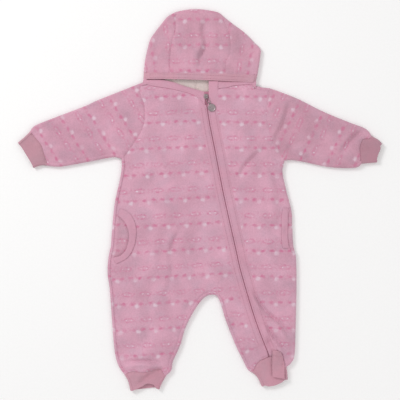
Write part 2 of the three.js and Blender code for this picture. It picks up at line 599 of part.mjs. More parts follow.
// The front left of the zip: the chest, the whole left leg and the inside of the right leg.
function frontLeft() {
  const sheet = new Sheet();
  const add = (edges) => sheet.grid(raised(patch(edges), bodyHeight));
  const side = insetOf(parted(edge.leftSide), SIDE_INSET + SEAM_GAP);
  const arch = insetOf(parted(edge.crotch), SIDE_INSET + SEAM_GAP);
  const peak = arch.reduce((best, p, i) => (p.y > arch[best].y ? i : best), 0);
  const fork = side.length - 1 - peak;
  const armhole = shifted(leftArmhole, HALF_GAP);
  const bandEdge = shifted(leftBandOuter, -2 * SEAM_GAP);
  const bandFork = bandEdge.findIndex((p) => p.y < arch[peak].y);

  const left = [...armhole.slice(0, -1), ...side.slice(0, fork + 1)];
  const right = resampled(bandEdge.slice(0, bandFork + 1), left.length - 1);
  const shoulder = reversed(insetOf(parted(edge.leftShoulder), SIDE_INSET + SEAM_GAP));
  const neck = shifted(along(LEFT_NECK, NECK_STEPS), -SEAM_GAP).filter(({ x }) => x < right[0].x - SEAM_GAP);
  const top = [left[0], ...shoulder.slice(1), ...neck, right[0]];
  const legTop = straight(side[fork], arch[peak], LEG_STEPS);
  const insideTop = straight(arch[peak], right.at(-1), top.length - 1 - LEG_STEPS);
  add({ top, bottom: [...legTop, ...insideTop.slice(1)], left, right });

  const [legLeft, legRight] = [side.slice(fork), reversed(arch.slice(0, peak + 1))];
  const ankle = [legLeft.at(-1), ...innerPoints(shifted(leftAnkleSeam, HALF_GAP)), legRight.at(-1)];
  add({ top: legTop, bottom: ankle, left: legLeft, right: legRight });

  const insideLeft = arch.slice(peak);
  const insideRight = resampled(bandEdge.slice(bandFork), insideLeft.length - 1);
  const end = aboveAnkle(straight(insideLeft.at(-1), insideRight.at(-1), insideTop.length - 1));
  const seam = [insideLeft.at(-1), ...innerPoints(end), insideRight.at(-1)];
  add({ top: insideTop, bottom: seam, left: insideLeft, right: insideRight });
  return sheet;
}

// The front right of the zip, rolled over the right side down to its seam underneath.
function frontRight() {
  const sheet = new Sheet();
  const rim = rolledEdge(parted(edge.rightSide), bodyHeight);
  const armhole = shifted(rightArmhole, -HALF_GAP);
  const right = [...armhole.slice(0, -1), ...reversed(seamOf(rim))];
  const neck = shifted(along(RIGHT_NECK, RIGHT_NECK_STEPS), -SEAM_GAP);
  const bandEdge = shifted(rightBandOuter, 2 * SEAM_GAP).filter(({ y }) => y < neck[0].y);
  const left = resampled([neck[0], ...bandEdge], right.length - 1);
  const shoulder = reversed(insetOf(parted(edge.rightShoulder), SIDE_INSET + SEAM_GAP));
  const top = [left[0], ...neck.slice(1), ...shoulder.slice(0, -1), right[0]];
  const end = aboveAnkle(straight(left.at(-1), right.at(-1), top.length - 1));
  const bottom = [left.at(-1), ...innerPoints(end), right.at(-1)];
  sheet.grid(rim);
  return sheet.grid(raised(patch({ top, bottom, left, right }), bodyHeight));
}

// Hood: two sides and a centre strip, each rolled over the outline from the top layer to the one beneath.
const HOOD_ROWS = 10;
const HOOD_SIDE_COLUMNS = 3;
const HOOD_BAND_STEPS = 14;
const NECK_CLEARANCE = 5 * SEAM_GAP; // the hood's lower layer stays this far inside its band's ends
const bandUpper = along(HOOD_BAND_UPPER, HOOD_BAND_STEPS);
const bandLower = along(HOOD_BAND_LOWER, HOOD_BAND_STEPS);
const hoodSeam = (rows, from, shift) => shifted(along([from, ...reversed(rows)], HOOD_ROWS), shift);
const neckAt = (x) => {
  const [from, to] = BACK_NECK;
  return from.y + ((to.y - from.y) * (x - from.x)) / (to.x - from.x) + HALF_GAP;
};
const bandDirection = bandUpper.at(-1).clone().sub(bandUpper[0]).normalize();
edge.hoodRight.inward[0] = bandDirection.clone().negate();
edge.hoodLeft.inward[edge.hoodLeft.inward.length - 1] = bandDirection;

function hoodSide(outline, seamRows, sign) {
  const sheet = new Sheet();
  const stretch = parted(outline);
  const rim = rolledEdge(stretch, hoodHeight);
  const edgePoints = seamOf(rim);
  const fromTop = sign < 0 ? edgePoints : reversed(edgePoints);
  const seam = hoodSeam(seamRows, joinPoint(outline, sign < 0 ? 0 : -1), sign * HALF_GAP);
  const inner = [fromTop[0], ...innerPoints(seam), ...above(bandUpper, seam.slice(-1))];
  const [left, right] = sign < 0 ? [fromTop, inner] : [inner, fromTop];
  const across = straight(left.at(-1), right.at(-1), HOOD_SIDE_COLUMNS);
  const bottom = [left.at(-1), ...above(bandUpper, innerPoints(across)), right.at(-1)];
  const top = across.map(() => fromTop[0]);
  sheet.grid(rim);
  sheet.grid(raised(patch({ top, bottom, left, right }), hoodHeight));
  const floorEdge = floorOf(rim);
  const low = flatten(sign < 0 ? floorEdge.at(-1) : floorEdge[0]);
  const besideBand = new THREE.Vector2(low.x - 2 * sign * SEAM_GAP, low.y);
  const bandEnd = sign < 0 ? bandLower[0] : bandLower.at(-1);
  const outerX = bandEnd.x - sign * (FLOOR_INSET + NECK_CLEARANCE);
  const [neckOuter, neckInner] = [outerX, seam.at(-1).x].map((x) => new THREE.Vector2(x, neckAt(x)));
  const loop = sign < 0
    ? [...floorEdge, ...[besideBand, neckOuter, neckInner, ...reversed(seam.slice(1))].map(floorPair)]
    : [...[...seam.slice(1), neckInner, neckOuter, besideBand].map(floorPair), ...floorEdge];
  return sheet.floor(loop);
}

function hoodCentre() {
  const sheet = new Sheet();
  const rim = rolledEdge(parted(edge.hoodTop), hoodHeight);
  const top = reversed(seamOf(rim));
  const sideSeam = (rows, start, shift) => {
    const seam = hoodSeam(rows, start, shift);
    return [...seam.slice(0, -1), ...above(bandUpper, seam.slice(-1))];
  };
  const left = [top[0], ...sideSeam(HOOD_SEAM_LEFT, joinPoint(edge.hoodTop, -1), HALF_GAP).slice(1)];
  const right = [top.at(-1), ...sideSeam(HOOD_SEAM_RIGHT, joinPoint(edge.hoodTop, 0), -HALF_GAP).slice(1)];
  const bottom = above(bandUpper, straight(left.at(-1), right.at(-1), top.length - 1));
  bottom[0] = left.at(-1);
  bottom[bottom.length - 1] = right.at(-1);
  sheet.grid(rim);
  sheet.grid(raised(patch({ top, bottom, left, right }), hoodHeight));
  const corner = (p) => new THREE.Vector2(p.x, neckAt(p.x));
  const under = [...left.slice(1), corner(left.at(-1)), corner(right.at(-1)), ...reversed(right.slice(1))];
  return sheet.floor([...floorOf(rim), ...under.map(floorPair)]);
}

// The band round the hood's opening, turned under at both ends.
function hoodBand() {
  const sheet = new Sheet();
  const leftwards = bandDirection.clone().negate();
  const ends = [
    { points: [bandUpper[0], bandLower[0]], inward: [bandDirection, bandDirection] },
    { points: [bandLower.at(-1), bandUpper.at(-1)], inward: [leftwards, leftwards] },
  ].map((end) => rolledEdge(end, hoodHeight));
  const [left, right] = [seamOf(ends[0]), reversed(seamOf(ends[1]))];
  const top = [left[0], ...innerPoints(bandUpper), right[0]];
  const bottom = [left[1], ...innerPoints(bandLower), right[1]];
  ends.forEach((rows) => sheet.grid(rows));
  return sheet.grid(raised([top, bottom], hoodHeight));
}

// Neck edges: the left one stands free beside the lining, the right one lies under the hood.
const LEFT_BINDING_STEPS = 10;

function neckBinding(upper, lower) {
  const rows = BAND_ROWS.map((share) => upper.map((p, i) => {
    const point = p.clone().lerp(lower[i], share);
    const full = bodyHeight(point.x, point.y);
    return pairAt(point, THREE.MathUtils.lerp(NECK_EDGE_HEIGHT, full, share), NECK_WALL);
  }));
  return new Sheet().grid(rows);
}

function neckBindingRight() {
  const lower = along(RIGHT_NECK, RIGHT_NECK_STEPS);
  const upper = lower.map(({ x }) => new THREE.Vector2(x, yAt(bandLower, x) - SEAM_GAP));
  return neckBinding(upper, lower);
}

const LINING = { left: -62, right: 27, low: 184, high: 220 };

function hoodLining() {
  const xs = [LINING.left, LINING.right];
  const rowAt = (y) => xs.map((x) => pairAt({ x, y }, LINING_TOP, FACING_WALL));
  const rows = [rowAt(LINING.high), rowAt(LINING.low)];
  return new Sheet().grid(rows);
}

// Pockets: a cut through the panel, the cloth seen in it, and the band round it.
const wasm = await Module();
wasm.setup();

function toManifold(geometry) {
  const mesh = new wasm.Mesh({
    numProp: 3,
    vertProperties: new Float32Array(geometry.attributes.position.array),
    triVerts: new Uint32Array(geometry.index.array),
  });
  mesh.merge();
  return new wasm.Manifold(mesh);
}

function fromManifold(solid) {
  const { vertProperties, triVerts } = solid.getMesh();
  const geometry = new THREE.BufferGeometry();
  geometry.setAttribute('position', new THREE.BufferAttribute(vertProperties, 3));
  geometry.setIndex(new THREE.BufferAttribute(triVerts, 1));
  return geometry;
}

function welded(geometry) {
  const bare = geometry.clone();
  bare.deleteAttribute('normal');
  bare.deleteAttribute('uv');
  return mergeVertices(bare, 1e-4);
}

// A tall block over an outline seen from above, to cut a pocket's shape through a panel.
function cutter(points) {
  const depth = 4 * EDGE_HEIGHT;
  const block = new THREE.ExtrudeGeometry(new THREE.Shape(points), { depth, bevelEnabled: false });
  return welded(block.translate(0, 0, -EDGE_HEIGHT));
}

const CUT_REACH = 30; // the cutting blocks reach this far past the outline
const POCKET_STEPS = 12;
const POCKET_TURN_UNDER = 3; // the cloth inside reaches this far under the opening's edge
const leftOpening = along(LEFT_POCKET, POCKET_STEPS);
const rightOpening = along(RIGHT_POCKET, POCKET_STEPS);

function cutPanel(sheet, opening, outwards) {
  const far = [opening.at(-1), opening[0]].map((p) => new THREE.Vector2(p.x + outwards * CUT_REACH, p.y));
  return fromManifold(toManifold(sheet.geometry()).subtract(toManifold(cutter([...opening, ...far]))));
}

function pocketInsideLeft() {
  const under = shifted(leftOpening, POCKET_TURN_UNDER);
  const side = insetOf(edge.leftSide, SIDE_INSET + 2 * SEAM_GAP);
  const sideAt = (y) => {
    const below = side.findIndex((p) => p.y < y);
    const [p, q] = [side[below - 1], side[below]];
    return new THREE.Vector2(THREE.MathUtils.mapLinear(y, p.y, q.y, p.x, q.x), y);
  };
  const rows = under.slice(1, -1).map((p) => {
    const from = sideAt(p.y);
    return BAND_ROWS.map((share) => pairAt(from.clone().lerp(p, share), FACING_HEIGHT, FACING_WALL));
  });
  return new Sheet().grid(rows);
}

const POCKET_SIDE_STEPS = 60;

function pocketInsideRight() {
  const { points, inward } = outlineOf(RIGHT_SIDE, POCKET_SIDE_STEPS);
  const high = RIGHT_POCKET[0].y - POCKET_TRIM;
  const low = RIGHT_POCKET.at(-1).y + POCKET_TRIM;
  const inside = points.map((p, i) => i).filter((i) => points[i].y < high && points[i].y > low);
  const stretch = { points: inside.map((i) => points[i]), inward: inside.map((i) => inward[i]) };
  const radius = FACING_HEIGHT / 2;
  const settings = { top: 2 * FLOOR_INSET, under: FLOOR_INSET / 2, radius, wall: FACING_WALL };
  return new Sheet().grid(rolledEdge(stretch, () => FACING_HEIGHT, settings));
}

const onPanel = (x, y) => bodyHeight(x, y) + 3 * SEAM_GAP + BAND_WALL;

function pocketBandLeft() {
  const outer = along(LEFT_POCKET_BAND, POCKET_STEPS);
  const rows = leftOpening.map((p, i) => BAND_ROWS.map((share) => p.clone().lerp(outer[i], share)));
  return new Sheet().grid(raised(rows, onPanel, BAND_WALL));
}

function pocketBandRight() {
  const middle = ({ inner, outer }) => (inner + outer) / 2;
  const rows = RIGHT_POCKET_BAND.map((row) => (
    [row.outer, middle(row), row.inner].map((x) => new THREE.Vector2(x, row.y))
  ));
  return new Sheet().grid(raised(rows, onPanel, BAND_WALL));
}

const FLAP_STEPS = 4;

function ankleFlap() {
  const [left, right] = [along(FLAP_LEFT, FLAP_STEPS), along(FLAP_RIGHT, FLAP_STEPS)];
  const rows = left.map((p, i) => BAND_ROWS.map((share) => p.clone().lerp(right[i], share)));
  const height = (x, y) => bodyHeight(x, y) + 2 * SEAM_GAP + FLAP_WALL;
  return new Sheet().grid(raised(rows, height, FLAP_WALL));
}

// The chain of the zip, in the slot between the bands and up under the slider.
const CHAIN_START = [{ x: 12.4, y: 188.6 }, { x: 12.4, y: 176 }];

function zipChain() {
  const path = [...CHAIN_START.map(vector), ...zipPath];
  const [left, right] = [shifted(path, -CHAIN_WIDTH / 2), shifted(path, CHAIN_WIDTH / 2)];
  const rows = left.map((p, i) => [p, right[i]].map((q) => pairAt(q, CHAIN_TOP, CHAIN_HEIGHT)));
  return new Sheet().grid(rows);
}

// The metal pull: an arch on the slider holds the link, and the link holds the disc.
const CORNER_FACES = 4;
const SLIDER_CORNER = 1.6;
const LINK_CORNER = 1;
const LINK_HOLE_CORNER = 0.4;
const DISC_FACES = 32;
const KNUCKLE_FACES = 10;
const NECK_OVERLAP = { plate: 0.6, ring: 0.2 }; // the disc's neck reaches into its plate and its ring

function roundedBar(width, height, depth, radius) {
  const [x, y] = [width / 2, height / 2];
  const shape = new THREE.Shape();
  shape.moveTo(-x + radius, -y).lineTo(x - radius, -y);
  shape.absarc(x - radius, -y + radius, radius, -Math.PI / 2, 0);
  shape.lineTo(x, y - radius).absarc(x - radius, y - radius, radius, 0, Math.PI / 2);
  shape.lineTo(-x + radius, y).absarc(-x + radius, y - radius, radius, Math.PI / 2, Math.PI);
  shape.lineTo(-x, -y + radius).absarc(-x + radius, -y + radius, radius, Math.PI, 1.5 * Math.PI);
  return { shape, settings: { depth, bevelEnabled: false, curveSegments: CORNER_FACES } };
}

const joined = (...geometries) => fromManifold(
  geometries.map((geometry) => toManifold(welded(geometry))).reduce((sum, solid) => sum.add(solid)),
);

function sliderGeometry() {
  const plate = roundedBar(SLIDER.width, SLIDER.length, SLIDER.thickness, SLIDER_CORNER);
  const body = new THREE.ExtrudeGeometry(plate.shape, plate.settings);
  const legs = new THREE.Shape();
  const half = ARCH.length / 2;
  const top = ARCH.holeHeight + ARCH.wire;
  const foot = -SLIDER.thickness / 2;
  legs.moveTo(-half, foot).lineTo(-half, top - ARCH.wire).lineTo(-half + ARCH.wire, top);
  legs.lineTo(half - ARCH.wire, top).lineTo(half, top - ARCH.wire).lineTo(half, foot);
  legs.lineTo(half - ARCH.wire, foot).lineTo(half - ARCH.wire, ARCH.holeHeight);
  legs.lineTo(-half + ARCH.wire, ARCH.holeHeight).lineTo(-half + ARCH.wire, foot);
  const arch = new THREE.ExtrudeGeometry(legs, { depth: ARCH.width, bevelEnabled: false });
  arch.translate(0, 0, -ARCH.width / 2).rotateX(Math.PI / 2).rotateZ(Math.PI / 2);
  arch.translate(0, 0, SLIDER.thickness);
  return joined(body, arch).translate(0, 0, SLIDER.base);
}

const AXLE_HEIGHT = SLIDER.base + SLIDER.thickness + ARCH.holeHeight / 2;
const KNUCKLE_HEIGHT = DISC.base + KNUCKLE.radius;

function linkGeometry() {
  const outer = roundedBar(LINK.width, LINK.length + LINK.wire, LINK.wire, LINK_CORNER);
  const holeSize = [LINK.width - 2 * LINK.wire, LINK.length - LINK.wire];
  const hole = roundedBar(...holeSize, LINK.wire, LINK_HOLE_CORNER);
  outer.shape.holes.push(new THREE.Path(hole.shape.getPoints(CORNER_FACES)));
  const loop = new THREE.ExtrudeGeometry(outer.shape, outer.settings);
  loop.translate(0, -LINK.length / 2, -LINK.wire / 2);
  const slope = Math.asin((AXLE_HEIGHT - KNUCKLE_HEIGHT) / LINK.length);
  return welded(loop.rotateX(slope).translate(0, 0, AXLE_HEIGHT));
}

function discGeometry() {
  const plate = new THREE.CylinderGeometry(DISC.radius, DISC.radius, DISC.thickness, DISC_FACES);
  plate.rotateX(Math.PI / 2).translate(0, -KNUCKLE.offset, DISC.base + DISC.thickness / 2);
  const ring = new THREE.Shape().absarc(0, 0, KNUCKLE.radius, 0, 2 * Math.PI);
  ring.holes.push(new THREE.Path().absarc(0, 0, KNUCKLE.hole, 0, 2 * Math.PI));
  const settings = { depth: KNUCKLE.width, bevelEnabled: false, curveSegments: KNUCKLE_FACES };
  const knuckle = new THREE.ExtrudeGeometry(ring, settings);
  knuckle.translate(0, 0, -KNUCKLE.width / 2).rotateY(Math.PI / 2).translate(0, 0, KNUCKLE_HEIGHT);
  const start = KNUCKLE.hole + NECK_OVERLAP.ring;
  const reach = KNUCKLE.offset - DISC.radius - start + NECK_OVERLAP.plate;
  const neck = new THREE.BoxGeometry(KNUCKLE.width, reach, DISC.thickness);
  neck.translate(0, -start - reach / 2, DISC.base + DISC.thickness / 2);
  return joined(plate, knuckle, neck);
}

const metalMesh = (name, geometry) => (
  meshOf(name, geometry, { color: COLOR.metal, roughness: METAL_ROUGHNESS, metalness: 1 })
);

const leftNeckEdges = [LEFT_NECK_EDGE, LEFT_NECK].map((rows) => along(rows, LEFT_BINDING_STEPS));
const suit = new THREE.Group();
suit.add(
  clothMesh('back', back(), COLOR.print),
  clothMesh('front_left', cutPanel(frontLeft(), leftOpening, -1), COLOR.print),
  clothMesh('front_right', cutPanel(frontRight(), rightOpening, 1), COLOR.print),
  clothMesh('zip_band_left', bandBetween(leftBandOuter, leftBandInner), COLOR.plain),
  clothMesh('zip_band_right', bandBetween(rightBandInner, rightBandOuter), COLOR.plain),
  clothMesh('zip_chain', zipChain(), COLOR.plain),
  clothMesh('sleeve_left', sleeveLeft(), COLOR.print),
  clothMesh('sleeve_right', sleeveRight(), COLOR.print),
  clothMesh('hood_side_left', hoodSide(edge.hoodLeft, HOOD_SEAM_LEFT, -1), COLOR.print),
  clothMesh('hood_side_right', hoodSide(edge.hoodRight, HOOD_SEAM_RIGHT, 1), COLOR.print),
  clothMesh('hood_centre', hoodCentre(), COLOR.print),
  clothMesh('hood_band', hoodBand(), COLOR.plain),
  clothMesh('neck_binding_left', neckBinding(...leftNeckEdges), COLOR.plain),
  clothMesh('neck_binding_right', neckBindingRight(), COLOR.plain),
  clothMesh('hood_lining', hoodLining(), COLOR.lining),
  clothMesh('pocket_inside_left', pocketInsideLeft(), COLOR.print),
  clothMesh('pocket_inside_right', pocketInsideRight(), COLOR.print),
  clothMesh('pocket_band_left', pocketBandLeft(), COLOR.plain),
  clothMesh('pocket_band_right', pocketBandRight(), COLOR.plain),
);

// first and second are the cuff's two sides, as flatTube takes them.
const CUFFS = {
  wrist_cuff_left: {
    first: edge.leftWristUpper, second: edge.leftWristLower, seam: leftWristSeam, end: LEFT_WRIST_END,
  },
  wrist_cuff_right: {
    first: edge.rightWristLower, second: edge.rightWristUpper, seam: rightWristSeam,
    end: reversed(RIGHT_WRIST_END),
  },
  ankle_cuff_left: {
    first: edge.leftAnkleOuter, second: edge.leftAnkleInner, seam: leftAnkleSeam, end: LEFT_ANKLE_END,
  },
  ankle_cuff_right: {
    first: edge.rightAnkleInner, second: edge.rightAnkleOuter, seam: rightAnkleSeam,
    end: RIGHT_ANKLE_END, gap: 4 * SEAM_GAP,
  },
};
for (const [name, shape] of Object.entries(CUFFS)) {
  suit.add(clothMesh(name, cuff(shape), COLOR.rib));
}
suit.add(clothMesh('ankle_flap_right', ankleFlap(), COLOR.rib));

const slider = metalMesh('slider', sliderGeometry());
slider.position.set(SLIDER.x, SLIDER.y, 0);
const pull = new THREE.Group();
pull.position.copy(slider.position);
pull.rotation.z = PULL_TURN;
const disc = metalMesh('pull_disc', discGeometry());
disc.position.y = -Math.sqrt(LINK.length ** 2 - (AXLE_HEIGHT - KNUCKLE_HEIGHT) ** 2);
pull.add(metalMesh('pull_link', linkGeometry()), disc);
suit.add(slider, pull);

export default suit;
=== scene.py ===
# A hooded baby snowsuit laid flat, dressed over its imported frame. Tables are in millimetres.
import math
from collections import namedtuple

import bmesh
import bpy
import numpy as np
from mathutils import Matrix, Vector, kdtree, noise
from mathutils.geometry import delaunay_2d_cdt


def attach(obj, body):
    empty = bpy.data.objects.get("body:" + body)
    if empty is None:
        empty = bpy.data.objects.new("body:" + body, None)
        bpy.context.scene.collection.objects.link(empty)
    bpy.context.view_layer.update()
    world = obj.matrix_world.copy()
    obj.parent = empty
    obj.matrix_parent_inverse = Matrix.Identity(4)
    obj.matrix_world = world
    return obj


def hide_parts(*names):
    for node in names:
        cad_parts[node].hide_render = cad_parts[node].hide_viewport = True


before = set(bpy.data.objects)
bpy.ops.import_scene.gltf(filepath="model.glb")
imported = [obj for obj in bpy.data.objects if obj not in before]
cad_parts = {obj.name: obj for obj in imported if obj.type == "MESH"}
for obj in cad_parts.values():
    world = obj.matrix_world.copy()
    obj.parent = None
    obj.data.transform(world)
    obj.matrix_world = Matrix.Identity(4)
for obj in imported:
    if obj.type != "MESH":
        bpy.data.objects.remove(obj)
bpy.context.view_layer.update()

MM = 0.001
SEAM_GAP = 0.3
CUFF_DROP = 0.9  # how far a cuff lies below the cloth that is sewn to it
TUCK = 0.1  # sewn edges run this far under each other
SIDE_INSET = 6  # the side seams lie this far in from the outline
FLOOR_INSET = 8  # the rolled edge has come down flat on the floor this far in
EDGE_HEIGHT = 8  # top of the rolled edge
EDGE_RADIUS = EDGE_HEIGHT / 2
BODY_PUFF = 1.5  # how much higher the cloth stands far from the outline
HOOD_PUFF = 2.4
PUFF_REACH = 28
GATHER_PITCH = 9.5  # cloth gathers about this often beside a seam
GATHER_REACH = 7  # and this far from it
LARGE_WAVE = 0.75  # height of the cloth's slow unevenness
SMALL_WAVE = 0.32  # and of its finer one
CLOTH = 1.7  # thickness of the shells
FINE = 2.6  # spacing of the points on a panel
COARSE = 9  # the same on the hidden underside
BAND_SPACING = 1.8  # the same on bands, the lining and the ankle's overlap
ROLL_STEPS = 10
SHARP = math.radians(50)  # cut edges keep a crisp corner
LOWEST = 3.9  # where folds cross, the upper cloth comes to rest on the cloth beneath

# Outline, anticlockwise, so the cloth is always on the left of the path. Each stretch has its number of
# stations and then its points, x and y.
OUTLINE = {
    "left_side": (27, [
        (-138, 72), (-137.5, 57), (-140.5, 37), (-149.8, -6), (-154.7, -55), (-156.5, -80), (-161, -103),
        (-162.2, -130), (-158.4, -158), (-154.5, -212), (-151.4, -251), (-148, -276), (-141.6, -294),
        (-132.7, -306.8),
    ]),
    "left_ankle_outer": (3, [(-132.7, -306.8), (-126.4, -318), (-122, -335.2)]),
    "left_ankle_inner": (3, [(-71.5, -332.5), (-66, -320), (-59, -308)]),
    "crotch": (22, [
        (-59, -308), (-50.5, -299), (-47.3, -283), (-35.2, -256), (-26, -226), (-13.5, -200), (2, -177),
        (15, -167.5), (29, -168), (37, -184), (45.2, -211), (61.3, -252), (76.8, -284), (84, -298),
        (90.1, -302),
    ]),
    "right_ankle_inner": (3, [(90.1, -302), (100.4, -311), (108.5, -327.5)]),
    "right_ankle_outer": (3, [(154.2, -315), (153.5, -305), (151.9, -293)]),
    "right_side": (25, [
        (151.9, -293), (160, -286), (166, -272), (167.8, -227), (169.4, -150), (168.4, -100), (164, -80),
        (162, -44), (160.8, -20), (152.4, 13), (145.3, 44), (145.4, 57), (148.3, 69),
    ]),
    "right_sleeve_lower": (11, [
        (148.3, 69), (163, 70), (188, 65.6), (217, 59.2), (246, 56.2), (274.9, 57), (283.3, 63.5),
    ]),
    "right_wrist_lower": (2, [(283.3, 63.5), (297, 64.8), (310.6, 65.8)]),
    "right_wrist_upper": (2, [(319.9, 98.9), (313, 106), (300.8, 112.6)]),
    "right_sleeve_upper": (11, [
        (300.8, 112.6), (296, 120.5), (286.5, 127.4), (260.4, 137), (217, 155), (173.3, 176.8), (145.8, 188),
        (122, 196.4),
    ]),
    "right_shoulder": (2, [(122, 196.4), (110, 197.6), (97.5, 200.5)]),
    "hood_right": (10, [
        (100.6, 219.5), (103.6, 236), (105.9, 253), (106, 265), (92, 280), (77, 295), (60, 307.5),
        (42, 321.5),
    ]),
    "hood_top": (7, [(42, 321.5), (30.3, 330), (-0.5, 335), (-24.5, 334), (-42.7, 330)]),
    "hood_left": (10, [
        (-42.7, 330), (-57, 322), (-70.2, 306), (-79.5, 294), (-88.4, 279), (-96, 248), (-98.7, 224.3),
    ]),
    "left_shoulder": (2, [(-99.6, 207), (-103.4, 205.6), (-107, 204)]),
    "left_sleeve_upper": (11, [
        (-107, 204), (-140, 191), (-182.5, 174), (-203, 164.5), (-259.5, 143), (-290, 130.5), (-298.6, 120),
    ]),
    "left_wrist_upper": (2, [(-298.6, 120), (-309, 110), (-319.9, 100.8)]),
    "left_wrist_lower": (2, [(-292.3, 56.2), (-280, 60.6), (-269, 60)]),
    "left_sleeve_lower": (11, [(-269, 60), (-244, 58.8), (-195.3, 67.2), (-153, 75), (-138, 72)]),
}

# Seams and edges.
LEFT_ARMHOLE = [(-104, 184), (-97.6, 167), (-97, 140), (-104, 118), (-118, 96)]
RIGHT_ARMHOLE = [(120.4, 180), (117, 157), (119.5, 130), (127, 107), (137, 90)]
LEFT_NECK = [(-92, 203.6), (-77, 200), (-41.8, 194), (-8.8, 184), (8.6, 167.3)]
LEFT_NECK_EDGE = [(-92, 211), (-69, 211), (-46.6, 206.5), (-27.7, 200), (8.6, 189.5)]
RIGHT_NECK = [(31.9, 195.5), (49.4, 198), (60.2, 201), (91, 203.5)]
HOOD_SEAM_LEFT = [(-51.6, 223), (-52.4, 247), (-49.5, 276), (-43, 298), (-42.6, 318)]
HOOD_SEAM_RIGHT = [(44.5, 221.6), (46, 243), (52.4, 256), (53, 284), (46.6, 304)]
HOOD_BAND_UPPER = [(-98.7, 224), (-51.6, 222.7), (44.5, 221.3), (100.6, 219.2)]
HOOD_BAND_LOWER = [(-99.2, 212), (-51, 211.8), (17, 209.5), (97.6, 206)]
ZIP = [
    (12, 165), (16.6, 135), (25.2, 92), (40, 16), (49.4, -27.5), (62.5, -85.4), (72.6, -129), (97, -210),
    (118.3, -266),
]
LEFT_BAND_TOP = (-3.4, 178.4)
LEFT_BAND_END = [108, 119]
RIGHT_BAND_INNER = [(15.2, 208.6), (15.2, 195.6), (15.2, 187), (15, 177)]
RIGHT_BAND_OUTER = [(31.8, 208.6), (31.5, 195.6), (31, 187), (30.3, 177)]
RIGHT_BAND_END = [121.8, 138]
LEFT_ANKLE_SEAM = [(-118, -300.5), (-99, -302), (-85.8, -299), (-70, -296)]
RIGHT_ANKLE_SEAM = [(102, -284), (119, -274.4), (134, -273.6), (144, -277)]
LEFT_WRIST_SEAM = [(-286.5, 107), (-277.6, 95), (-273, 80)]
RIGHT_WRIST_SEAM = [(281, 78), (280, 91), (285, 106)]
LEFT_ANKLE_END = [(-105, -328.5), (-93, -322), (-82, -324)]
RIGHT_ANKLE_END = [(121, -326.8), (133, -324.5), (144, -319.5)]
LEFT_WRIST_END = [(-312, 91.2), (-305.4, 80.6), (-299, 70)]
RIGHT_WRIST_END = [(312.4, 80), (316.6, 90)]
BACK_NECK = [(-90.8, 205.6), (92, 200.4)]
FLAP_LEFT = [(127, -262), (126.3, -285), (126.6, -309)]
FLAP_RIGHT = [(141, -266), (147, -285), (148.2, -313)]
ZIP_SLOT = 1.5
LEFT_BAND_WIDTH = 13.5
RIGHT_BAND_WIDTH = 16.5

# Pockets.
LEFT_POCKET = [
    (-143, -27), (-132, -38), (-125.5, -52), (-124.2, -67), (-128.5, -85), (-138.6, -97), (-152, -101),
]
LEFT_POCKET_BAND = [
    (-140, -15), (-125, -22), (-114, -40), (-112.2, -62), (-117, -84), (-128, -101), (-147, -111.5),
]
RIGHT_POCKET = [(166, -10), (156, -19), (154, -45), (154, -68), (157, -83), (172, -93)]
RIGHT_POCKET_BAND_INNER = [(154, -14), (153.4, -30), (153.2, -50), (153.2, -68), (155.4, -84)]
RIGHT_POCKET_BAND_OUTER = [(146, -14), (143.6, -30), (143, -50), (143, -68), (145, -84)]
POCKET_TRIM = 1
FLAP_LIFT = 3.2  # the right ankle's overlap over the cuff

